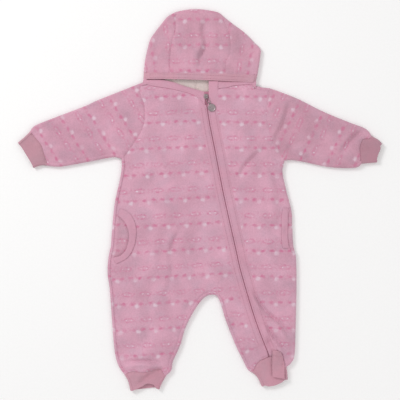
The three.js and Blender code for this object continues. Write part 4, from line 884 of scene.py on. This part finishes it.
rim_points, rim_inward = edge["right_side"].fine()
rim = rolled(rim_points, rim_inward, body_surface)
POCKET_HIGH, POCKET_LOW, POCKET_REACH = -15, -89, 157  # where the front's edge leaves room for the pocket
front_right = Cloth()
below = rim_points[:, 1] < POCKET_LOW
over = rim_points[:, 1] > POCKET_HIGH
front_right.grid(rim[below]).grid(rim[over])
neck_edge = shifted(right_neck, TUCK)
band_edge = shifted(right_outer, -TUCK)
band_edge = band_edge[band_edge[:, 1] < neck_edge[0][1]]
pocket_edge = right_opening[right_opening[:, 0] < POCKET_REACH]
hem_x = np.arange(band_edge[-1][0], rim[0, -1, 0], 2.0)
front_right.top(np.vstack([
    band_edge, tucked(right_ankle, hem_x)[1:], rim[below][:, -1, :2], pocket_edge[::-1],
    rim[over][:, -1, :2], between(right_armhole, TUCK)[::-1], inset_of("right_shoulder"), neck_edge[::-1],
]), body_surface)
front_right.build("front_right_panel", printed, turned(-0.6, (60, 4), 3.8), node="front_right",
                  size=(0.14, 0.50, 0.0410))

# Zip bands, sleeves and cuffs.
for side, loop, size in [
    ("left", [left_outer, left_inner[::-1]], (0.017, 0.47, 0.0062)),
    ("right", [right_inner, right_outer[::-1]], (0.019, 0.50, 0.0081)),
]:
    Cloth().top(np.vstack(loop), body_surface, BAND_SPACING).build(
        f"zip_placket_{side}", plain, turned(-72), node=f"zip_band_{side}", size=size, slot="plain_cloth")


def tube(first, second, start, end, start_back=None, surface=body_surface, slit=None):
    """A flattened tube from its start seam to its end; first runs from start to end, second back."""
    cloth = Cloth()
    rows = [strip(first, surface), strip(second, surface)]
    for r in rows:
        cloth.grid(r)
    edges = [r[:, -1, :2] for r in rows]
    if slit is not None:
        edges[slit] = inset_of((first, second)[slit])
    cloth.top(np.vstack([edges[0], *end, edges[1], *start[::-1]]), surface)
    back_rows = start if start_back is None else start_back
    cloth.under(np.vstack([rows[0][:, 0, :2], rows[1][:, 0, :2], *back_rows[::-1]]))
    return cloth


sleeve_left = tube("left_sleeve_upper", "left_sleeve_lower", between(left_armhole, TUCK),
                   between(left_wrist, -TUCK), slit=1)
sleeve_right = tube("right_sleeve_lower", "right_sleeve_upper", between(right_armhole, -TUCK)[::-1],
                    between(right_wrist, -TUCK), slit=0)
sleeve_left.build("left_sleeve", sleeve_cloth, turned(123, (-200, 115)), node="sleeve_left",
                  size=(0.26, 0.19, 0.0371))
sleeve_right.build("right_sleeve", shaded_sleeve, turned(-115, (215, 110)), node="sleeve_right",
                   size=(0.26, 0.19, 0.0331))


def cuff_surface(points):
    """Cuffs lie a little lower than the fuller cloth that is sewn to them."""
    return body_surface(points) - CUFF_DROP


def cuff(place, side, first, second, seam, end, size, angle, material):
    rim = seam_between(first, end, second)[1:-1]
    tube(first, second, between(seam, TUCK), rim, start_back=(), surface=cuff_surface).build(
        f"{side}_{place}_cuff", material, turned(angle), node=f"{place}_cuff_{side}", size=size,
        slot="cuff_cloth")


cuff("wrist", "left", "left_wrist_upper", "left_wrist_lower", left_wrist, LEFT_WRIST_END,
     (0.11, 0.033, 0.0034), 22, cuff_cloth)
cuff("wrist", "right", "right_wrist_lower", "right_wrist_upper", right_wrist, RIGHT_WRIST_END,
     (0.11, 0.036, 0.0028), -14, deep_cuff)
cuff("ankle", "left", "left_ankle_outer", "left_ankle_inner", left_ankle, LEFT_ANKLE_END,
     (0.15, 0.034, 0.0040), 96, pink_cuff)
cuff("ankle", "right", "right_ankle_inner", "right_ankle_outer", right_ankle, RIGHT_ANKLE_END,
     (0.14, 0.05, 0.0044), 80, pink_cuff)

flap_left, flap_right = dense(FLAP_LEFT), dense(FLAP_RIGHT)
flap = Cloth().top(np.vstack([flap_left, flap_right[::-1]]), body_surface, BAND_SPACING, lift=FLAP_LIFT)
flap.build("right_ankle_overlap", pink_cuff, turned(80), node="ankle_flap_right",
           size=(0.023, 0.052, 0.00088), slot="cuff_cloth", rests_on="right_ankle_cuff")


# Hood.
def neck_point(x):
    """Where the hood's underside meets the back."""
    (x0, y0), (x1, y1) = BACK_NECK
    return x, y0 + (y1 - y0) * (x - x0) / (x1 - x0) + SEAM_GAP / 2


def to_band(seam, distance):
    """A hood seam moved sideways, down to the band."""
    path = shifted(seam, distance)[1:]
    return np.vstack([path[:-1], tucked(band_upper, path[-1:, 0])])


def hood_hem(start, end):
    return tucked(band_upper, np.arange(start + 2, end - 1, 2.2))


def hood_side(side, seam, sign, grain, size):
    """One side of the hood: its upper layer, the roll over its outline and the layer beneath."""
    rows = strip(f"hood_{side}", hood_surface)
    path = to_band(seam, -sign * TUCK)
    rim_edge = rows[:, -1, :2]
    cloth = Cloth().grid(rows)
    last = -1 if sign < 0 else 0
    low = rows[last, 0, :2]
    beside = (low[0] - 2 * sign * SEAM_GAP, low[1])
    outer_foot = neck_point(band_lower[-1 - last][0] - sign * (FLOOR_INSET + 5 * SEAM_GAP))
    inner_foot = neck_point(path[-1][0])
    hem = hood_hem(*sorted([rim_edge[last][0], path[-1][0]]))
    if sign < 0:
        cloth.top(np.vstack([rim_edge, hem, path[::-1]]), hood_surface)
        cloth.under(np.vstack([rows[:, 0, :2], beside, outer_foot, inner_foot, path[::-1]]))
    else:
        cloth.top(np.vstack([rim_edge, path, hem]), hood_surface)
        cloth.under(np.vstack([path, inner_foot, outer_foot, beside, rows[:, 0, :2]]))
    cloth.build(f"hood_{side}_panel", hood_cloth, grain, node=f"hood_side_{side}", size=size)


hood_side("left", hood_seam_left, -1, turned(98), (0.115, 0.12, 0.0088))
hood_side("right", hood_seam_right, 1, turned(80), (0.12, 0.12, 0.0098))

rows = strip("hood_top", hood_surface)
left_path, right_path = to_band(hood_seam_left, -TUCK), to_band(hood_seam_right, TUCK)
hem = hood_hem(left_path[-1][0], right_path[-1][0])
feet = [neck_point(p[-1][0]) for p in (left_path, right_path)]
centre = Cloth().grid(rows)
centre.top(np.vstack([rows[:, -1, :2], left_path, hem, right_path[::-1]]), hood_surface)
centre.under(np.vstack([rows[:, 0, :2], left_path, *feet, right_path[::-1]]))
centre.build("hood_centre_panel", hood_cloth, node="hood_centre", size=(0.105, 0.24, 0.0228))

BAND_LIFT = 1.9  # how far the hood's band stands over the neck at its lower edge
BAND_WIDTH = 11.5
BINDING_TOP = 7.5  # the neck edges' turned top
BINDING_LIFT = 1.6  # how far they stand over the panels at their seam
BINDING_BELLY = 0.9


def band_surface(points):
    """The hood's band stands a little proud of the neck towards its lower edge."""
    share = (points[:, 1] - y_at(band_lower, points[:, 0])) / BAND_WIDTH
    return hood_surface(points) + BAND_LIFT * (1 - np.clip(share, 0, 1)) ** 0.7


leftwards = -band_direction
band = Cloth()
ends = []
for loop, inward in [
    (np.linspace(band_upper[0], band_lower[0], 7), band_direction),
    (np.linspace(band_lower[-1], band_upper[-1], 7), leftwards),
]:
    rows = rolled(loop, np.tile(inward, (len(loop), 1)), band_surface)
    band.grid(rows)
    ends.append(rows[:, -1, :2])
low_edge = band_lower[(band_lower[:, 0] > ends[0][-1][0] + 1) & (band_lower[:, 0] < ends[1][0][0] - 1)]
high_edge = band_upper[(band_upper[:, 0] > ends[0][0][0] + 1) & (band_upper[:, 0] < ends[1][-1][0] - 1)]
band.top(np.vstack([ends[0], low_edge, ends[1], high_edge[::-1]]), band_surface, 2.0)
band.build("hood_rim_band", band_cloth, node="hood_band", size=(0.225, 0.0135, 0.0030), thickness=2.4,
           slot="plain_cloth", rests_on=["back", "neck_binding_right"])


def level(height):
    return lambda points: np.full(len(points), height)


def binding(side, upper, lower, size, outer_end, inward):
    """A neck edge, from its turned top down to the panel's seam, closed at the neck's outer end."""
    upper, lower = even(upper, 90), even(lower, 90)
    rows = []
    for share in np.linspace(0, 1, 8):
        line = upper * (1 - share) + lower * share
        height = BINDING_TOP * (1 - share) + (body_surface(line) + BINDING_LIFT) * share
        height += BINDING_BELLY * math.sin(math.pi * min(1, share * 1.4))
        rows.append(np.column_stack([line, height]))
    end = np.linspace(*outer_end, 5)
    closed = rolled(end, np.tile(inward, (len(end), 1)), level(EDGE_HEIGHT - 0.2))
    Cloth().grid(rows).grid(closed).build(f"neck_edge_{side}", plain, node=f"neck_binding_{side}", size=size,
                                          thickness=1.6, slot="plain_cloth", rests_on=["back", "hood_lining"])


binding("left", dense([(-99, 211), *LEFT_NECK_EDGE]),
        np.vstack([[(-101.5, 201)], shifted(left_neck, -0.8)]), (0.118, 0.022, 0.00148),
        ((-99.2, 213.5), (-99.8, 205.5)), (1, 0))
under_band = np.stack([right_neck[:, 0], y_at(band_lower, right_neck[:, 0]) + 1.5], axis=1)
binding("right", np.vstack([under_band, [(98.5, under_band[-1, 1])]]),
        np.vstack([right_neck, [(97.2, 195)]]), (0.085, 0.0155, 0.00084),
        ((97.2, 199.5), (97.8, 208)), (-1, 0))

LINING = np.array([(-62, 184), (27, 184), (27, 220), (-62, 220)], float)
LINING_HEIGHT = 4.9


def lining_surface(points):
    """Loose fleece behind the neck, with one creased seam."""
    crease = Fold(-7.2, 209, -4.9, 192, 0.6, 2.0, -0.9, 0.3)
    folds = fold_height(points, crease, np.full(len(points), 9.0))
    return LINING_HEIGHT + folds + 0.35 * waves(points, 9, 4.0)


lining = Cloth().top(even(np.vstack([LINING, LINING[:1]]), 120), lining_surface, BAND_SPACING)
lining.build("neck_lining", fleece, node="hood_lining", size=(0.089, 0.036, 0.0032), thickness=1.2,
             slot="lining")

# Pockets.
POCKET_FLOOR = 5.6
POCKET_ROLL = {"surface": level(6.8), "top": 16, "under": 4, "radius": 3.4}
side_line = inset_of("left_side", SIDE_INSET - 2 * TUCK)
beside = Nearest([(side_line,)])
under_edge = shifted(left_opening, 3)[2:-2]
pocket_side = side_line[(side_line[:, 1] < under_edge[0][1] + 5) & (side_line[:, 1] > under_edge[-1][1])]


def pocket_floor(points):
    share = np.exp(-((beside(points)[0] / 7) ** 2))
    low = POCKET_FLOOR + 0.5 * waves(points, 16, 9.0)
    return low + share * (body_surface(points) - low)


Cloth().top(np.vstack([pocket_side, under_edge[::-1]]), pocket_floor).build(
    "left_pocket_inside", inner_print, node="pocket_inside_left", size=(0.031, 0.078, 0.00172), thickness=1.0)

high_y, low_y = RIGHT_POCKET[0][1] - POCKET_TRIM, RIGHT_POCKET[-1][1] + POCKET_TRIM
within = (rim_points[:, 1] < high_y) & (rim_points[:, 1] > low_y)
roll = rolled(rim_points[within], rim_inward[within], **POCKET_ROLL)
Cloth().grid(roll).build("right_pocket_inside", inner_print, node="pocket_inside_right",
                         size=(0.023, 0.080, 0.0018), thickness=1.0)


def on_panel(points):
    return body_surface(points) + 1.0


def pocket_band(side, inner, outer, size, lift):
    inner, outer = even(inner, 44), even(outer, 44)
    rows = []
    for share in np.linspace(0, 1, 7):
        line = inner * (1 - share) + outer * share
        edge_drop = 0.8 * share**2 + 0.3 * (1 - share) ** 6
        rows.append(np.column_stack([line, body_surface(line) + lift - edge_drop]))
    Cloth().grid(rows).build(f"{side}_pocket_band", plain, node=f"pocket_band_{side}", size=size,
                             thickness=0.9, slot="plain_cloth", rests_on=[f"front_{side}_panel"])


pocket_band("left", left_opening, dense(LEFT_POCKET_BAND), (0.014, 0.11, 0.00125), 1.3)
pocket_band("right", dense(RIGHT_POCKET_BAND_OUTER), dense(RIGHT_POCKET_BAND_INNER),
            (0.0105, 0.072, 0.0007), 0.6)


# Zip: the tape and its two rows of teeth.
TEETH = 387
TOOTH = (1.3, 0.75, 0.8)  # across the zip, along it and upwards
TOOTH_OFFSET = 0.35  # the teeth lie this far to either side of the middle, by turns
TOOTH_DROP = 0.3  # how far their middles lie below the bands
TAPE_DROP = 0.4  # and the tape below them
TAPE_TOP_DROP = 1.3  # the wider tape at the neck, below the bands


def box_mesh(centre, along, across, size, verts, faces):
    """A small block with its long side along the given direction."""
    up = np.array([0, 0, 1.0])
    axes = [np.array([*along, 0]) * size[0] / 2, np.array([*across, 0]) * size[1] / 2, up * size[2] / 2]
    start = len(verts)
    for a in (-1, 1):
        for b in (-1, 1):
            for c in (-1, 1):
                verts.append(centre + a * axes[0] + b * axes[1] + c * axes[2])
    faces += [tuple(start + k for k in f) for f in
              ((0, 1, 3, 2), (4, 6, 7, 5), (0, 4, 5, 1), (2, 3, 7, 6), (0, 2, 6, 4), (1, 5, 7, 3))]


chain_path = even(np.vstack([[(12.4, 186), (12.4, 176)], zip_path, [(120.4, -275)]]), TEETH)
verts, faces = [], []
high = body_surface(chain_path) - TOOTH_DROP
steps = np.gradient(chain_path, axis=0)
steps /= np.hypot(*steps.T)[:, None]
for k, (p, d) in enumerate(zip(chain_path, steps)):
    normal = np.array([-d[1], d[0]])
    hand = 1 if k % 2 else -1
    place = np.array([*(p + normal * hand * TOOTH_OFFSET), high[k]])
    box_mesh(place, normal, d, TOOTH, verts, faces)
chain = Cloth().grid([np.column_stack([shifted(chain_path, w), high - TAPE_DROP])
                      for w in (-0.9, -0.3, 0.3, 0.9)])
chain.add(verts, faces)
tape_top = even(np.array([(12.4, 190), (12.4, 176), (12, 165), (13.8, 152)]), 24)
chain.grid([np.column_stack([shifted(tape_top, w), body_surface(tape_top) - TAPE_TOP_DROP])
            for w in (-5, 0, 5)])
chain.build("zip_coil", tape, node="zip_chain", thickness=0, slot="zip")


# Sewing.
STITCH_SIDES = 6
# A stitch's sections: place as a share of its length, and radius as a share of half its width.
STITCH_SECTIONS = ((-0.5, 0.25), (-0.3, 0.9), (0.3, 0.9), (0.5, 0.25))


def stitches(name, rows, material, pitch=3.1, long=2.2, wide=0.55):
    """Rows of single stitches, each on its surface. A row is a path and the surface that it lies on."""
    verts, faces = [], []
    for path, surface, lift in rows:
        count = max(2, round(length(path) / pitch))
        points = even(path, count)
        step = np.gradient(points, axis=0)
        step /= np.hypot(*step.T)[:, None]
        heights = surface(points) + lift
        for p, d, z in zip(points[:-1], step, heights):
            normal = np.array([-d[1], d[0]])
            start = len(verts)
            for t, r in STITCH_SECTIONS:
                for angle in np.linspace(0, 2 * math.pi, STITCH_SIDES, endpoint=False):
                    at = p + d * t * long + normal * math.cos(angle) * wide / 2 * r
                    verts.append((*at, z + math.sin(angle) * wide / 2 * r))
            last = len(verts) - STITCH_SIDES
            for ring in range(start, last, STITCH_SIDES):
                for k in range(STITCH_SIDES):
                    a, b = ring + k, ring + (k + 1) % STITCH_SIDES
                    faces.append((a, b, b + STITCH_SIDES, a + STITCH_SIDES))
            faces.append(tuple(range(start, start + STITCH_SIDES))[::-1])
            faces.append(tuple(range(last, len(verts))))
    Cloth().add(verts, faces).build(name, material, thickness=0, slot="plain_cloth")


def clipped(path, low=-1e9, high=1e9):
    return path[(path[:, 1] > low) & (path[:, 1] < high)]


outer_line = shifted(left_outer[1:], 4.2)
outer_right = shifted(right_outer[6:], -4.2)
stitches("stitching", [
    (clipped(shifted(left_inner, -2.6), -255, 160), body_surface, 0.1),
    (clipped(shifted(right_inner[4:], 2.6), -262, 175), body_surface, 0.1),
    (clipped(outer_line, -255, 160), body_surface, 0.1),
    (clipped(outer_right, -262, 175), body_surface, 0.1),
    (even(left_opening, 44) * 0.82 + even(dense(LEFT_POCKET_BAND), 44) * 0.18, on_panel, 0.05),
    (even(left_opening, 44) * 0.18 + even(dense(LEFT_POCKET_BAND), 44) * 0.82, on_panel, 0.05),
    (dense(RIGHT_POCKET_BAND_OUTER) + (2, 0), on_panel, 0.05),
    (left_neck[left_neck[:, 0] < 0] - (0, 0.9), body_surface, 0.15),
    (band_lower[6:-6] + (0, 2.6), band_surface, 0.1),
    (band_lower[6:-6] + (0, 8.6), band_surface, 0.1),
], thread)

# The metal slider, link and disc.
PULL_TURN = math.radians(27.6)
SLIDER_PLACE = (10.2, 181.5, 0)
PLATE_WIDTH, PLATE_LENGTH, PLATE_CORNER = 7.4, 7.6, 1.9
PLATE_TAPER = 0.14  # the plate's lower end is narrower by this share
PLATE_BOTTOM, PLATE_TOP = 9.7, 10.9
ARCH_HALF, ARCH_FOOT, ARCH_SPRING, ARCH_RISE = 1.7, 10.4, 11.7, 1.65
WIRE = 0.45  # radius of the arch's and the link's wire
AXLE_HEIGHT = 11.85
LINK_WIDTH, LINK_LENGTH, LINK_CORNER = 4.7, 14, 1.3
KNUCKLE_HEIGHT = 11.55
LINK_DROP = AXLE_HEIGHT - KNUCKLE_HEIGHT
KNUCKLE_RADIUS, KNUCKLE_WIRE = 1.2, 0.34
TAB = [(-1.4, -2.3), (1.4, -2.3), (1.4, -1.15), (-1.4, -1.15)]
TAB_BOTTOM, TAB_TOP = 10.1, 11.3
DISC_CENTRE = -8.6
DISC_SIDES = 56
# The disc's section, radius and height, from the middle of its top to the middle of its underside.
DISC_PROFILE = [
    (0, 10.85), (4.9, 10.85), (5.3, 10.95), (5.6, 11.3), (6.1, 11.4), (6.6, 11.3), (6.9, 10.95), (6.9, 10.4),
    (6.6, 10.05), (5.9, 10), (0, 10),
]


def metal_piece(name, node, work, turn, origin, body, bevel=0.0, smooth=60):
    """Puts a metal part, made about its own origin in millimetres, in its place."""
    mesh = bpy.data.meshes.new(name)
    bmesh.ops.recalc_face_normals(work, faces=work.faces)
    work.to_mesh(mesh)
    work.free()
    mesh.transform(Matrix.Scale(MM, 4) @ Matrix.Translation(origin) @ Matrix.Rotation(turn, 4, "Z"))
    piece = add_object(name, mesh)
    if bevel:
        round_off = piece.modifiers.new("edges", "BEVEL")
        round_off.width = bevel * MM
        round_off.segments = 3
        round_off.limit_method = "ANGLE"
        freeze(piece)
    for polygon in piece.data.polygons:
        polygon.use_smooth = True
    piece.data.set_sharp_from_angle(angle=math.radians(smooth))
    dress(piece, steel, node, body)


def rounded_rectangle(width, height, radius, steps=6):
    points = []
    for cx, cy, start in ((1, -1, -90), (1, 1, 0), (-1, 1, 90), (-1, -1, 180)):
        for k in range(steps + 1):
            angle = math.radians(start + 90 * k / steps)
            points.append((cx * (width / 2 - radius) + radius * math.cos(angle),
                           cy * (height / 2 - radius) + radius * math.sin(angle)))
    return points


def prism(work, points, low, high):
    bottom = [work.verts.new((x, y, low)) for x, y in points]
    top = [work.verts.new((x, y, high)) for x, y in points]
    work.faces.new(bottom[::-1])
    work.faces.new(top)
    for k in range(len(points)):
        m = (k + 1) % len(points)
        work.faces.new((bottom[k], bottom[m], top[m], top[k]))


def wire(work, points, radius, closed=True, sides=10):
    """A round wire along a path of 3-D points."""
    points = [Vector(p) for p in points]
    count = len(points)
    rings = []
    for k, p in enumerate(points):
        before = points[(k - 1) % count] if closed or k else p
        after = points[(k + 1) % count] if closed or k + 1 < count else p
        along = (after - before).normalized()
        side = along.cross(Vector((0, 0, 1)))
        if side.length < 0.01:
            side = along.cross(Vector((0, 1, 0)))
        side.normalize()
        up = side.cross(along)
        rings.append([
            work.verts.new(p + radius * (math.cos(a) * side + math.sin(a) * up))
            for a in [2 * math.pi * s / sides for s in range(sides)]
        ])
    for k in range(count if closed else count - 1):
        ring, following = rings[k], rings[(k + 1) % count]
        for s in range(sides):
            t = (s + 1) % sides
            work.faces.new((ring[s], ring[t], following[t], following[s]))
    if not closed:
        work.faces.new(rings[0][::-1])
        work.faces.new(rings[-1])


work = bmesh.new()
plate = [(x * (1 - PLATE_TAPER * (y < 0) * min(1, -y / (PLATE_LENGTH / 2))), y)
         for x, y in rounded_rectangle(PLATE_WIDTH, PLATE_LENGTH, PLATE_CORNER)]
prism(work, plate, PLATE_BOTTOM, PLATE_TOP)
arch = [(0, -ARCH_HALF * math.cos(a), ARCH_SPRING + ARCH_RISE * math.sin(a))
        for a in np.linspace(0, math.pi, 13)]
wire(work, [(0, -ARCH_HALF, ARCH_FOOT), *arch, (0, ARCH_HALF, ARCH_FOOT)], WIRE, closed=False, sides=12)
metal_piece("zip_slider", "slider", work, 0, SLIDER_PLACE, "garment", bevel=0.32)

work = bmesh.new()
slope = math.asin(LINK_DROP / LINK_LENGTH)
path = []
for x, y in rounded_rectangle(LINK_WIDTH, LINK_LENGTH, LINK_CORNER):
    along = y - LINK_LENGTH / 2
    path.append((x, along * math.cos(slope), AXLE_HEIGHT + along * math.sin(slope)))
wire(work, path, WIRE)
metal_piece("pull_link_ring", "pull_link", work, PULL_TURN, SLIDER_PLACE, "link")

work = bmesh.new()
turn = Matrix.Rotation(PULL_TURN, 3, "Z")
knuckle = Vector(SLIDER_PLACE) + turn @ Vector((0, -math.sqrt(LINK_LENGTH**2 - LINK_DROP**2), 0))
rings = []
for radius, z in DISC_PROFILE:
    if radius:
        rings.append([work.verts.new((radius * math.cos(a), DISC_CENTRE + radius * math.sin(a), z))
                      for a in [2 * math.pi * k / DISC_SIDES for k in range(DISC_SIDES)]])
    else:
        rings.append([work.verts.new((0, DISC_CENTRE, z))])
for ring, following in zip(rings, rings[1:]):
    for k in range(DISC_SIDES):
        m = (k + 1) % DISC_SIDES
        if len(ring) == 1:
            work.faces.new((ring[0], following[k], following[m]))
        elif len(following) == 1:
            work.faces.new((ring[k], following[0], ring[m]))
        else:
            work.faces.new((ring[k], following[k], following[m], ring[m]))
for x in np.linspace(-1.05, 1.05, 4):
    loop = [(x, KNUCKLE_RADIUS * math.cos(a), KNUCKLE_HEIGHT + KNUCKLE_RADIUS * math.sin(a))
            for a in np.linspace(0, 2 * math.pi, 24, endpoint=False)]
    wire(work, loop, KNUCKLE_WIRE, sides=8)
prism(work, TAB, TAB_BOTTOM, TAB_TOP)
metal_piece("pull_disc_plate", "pull_disc", work, PULL_TURN, knuckle, "disc", bevel=0.1)
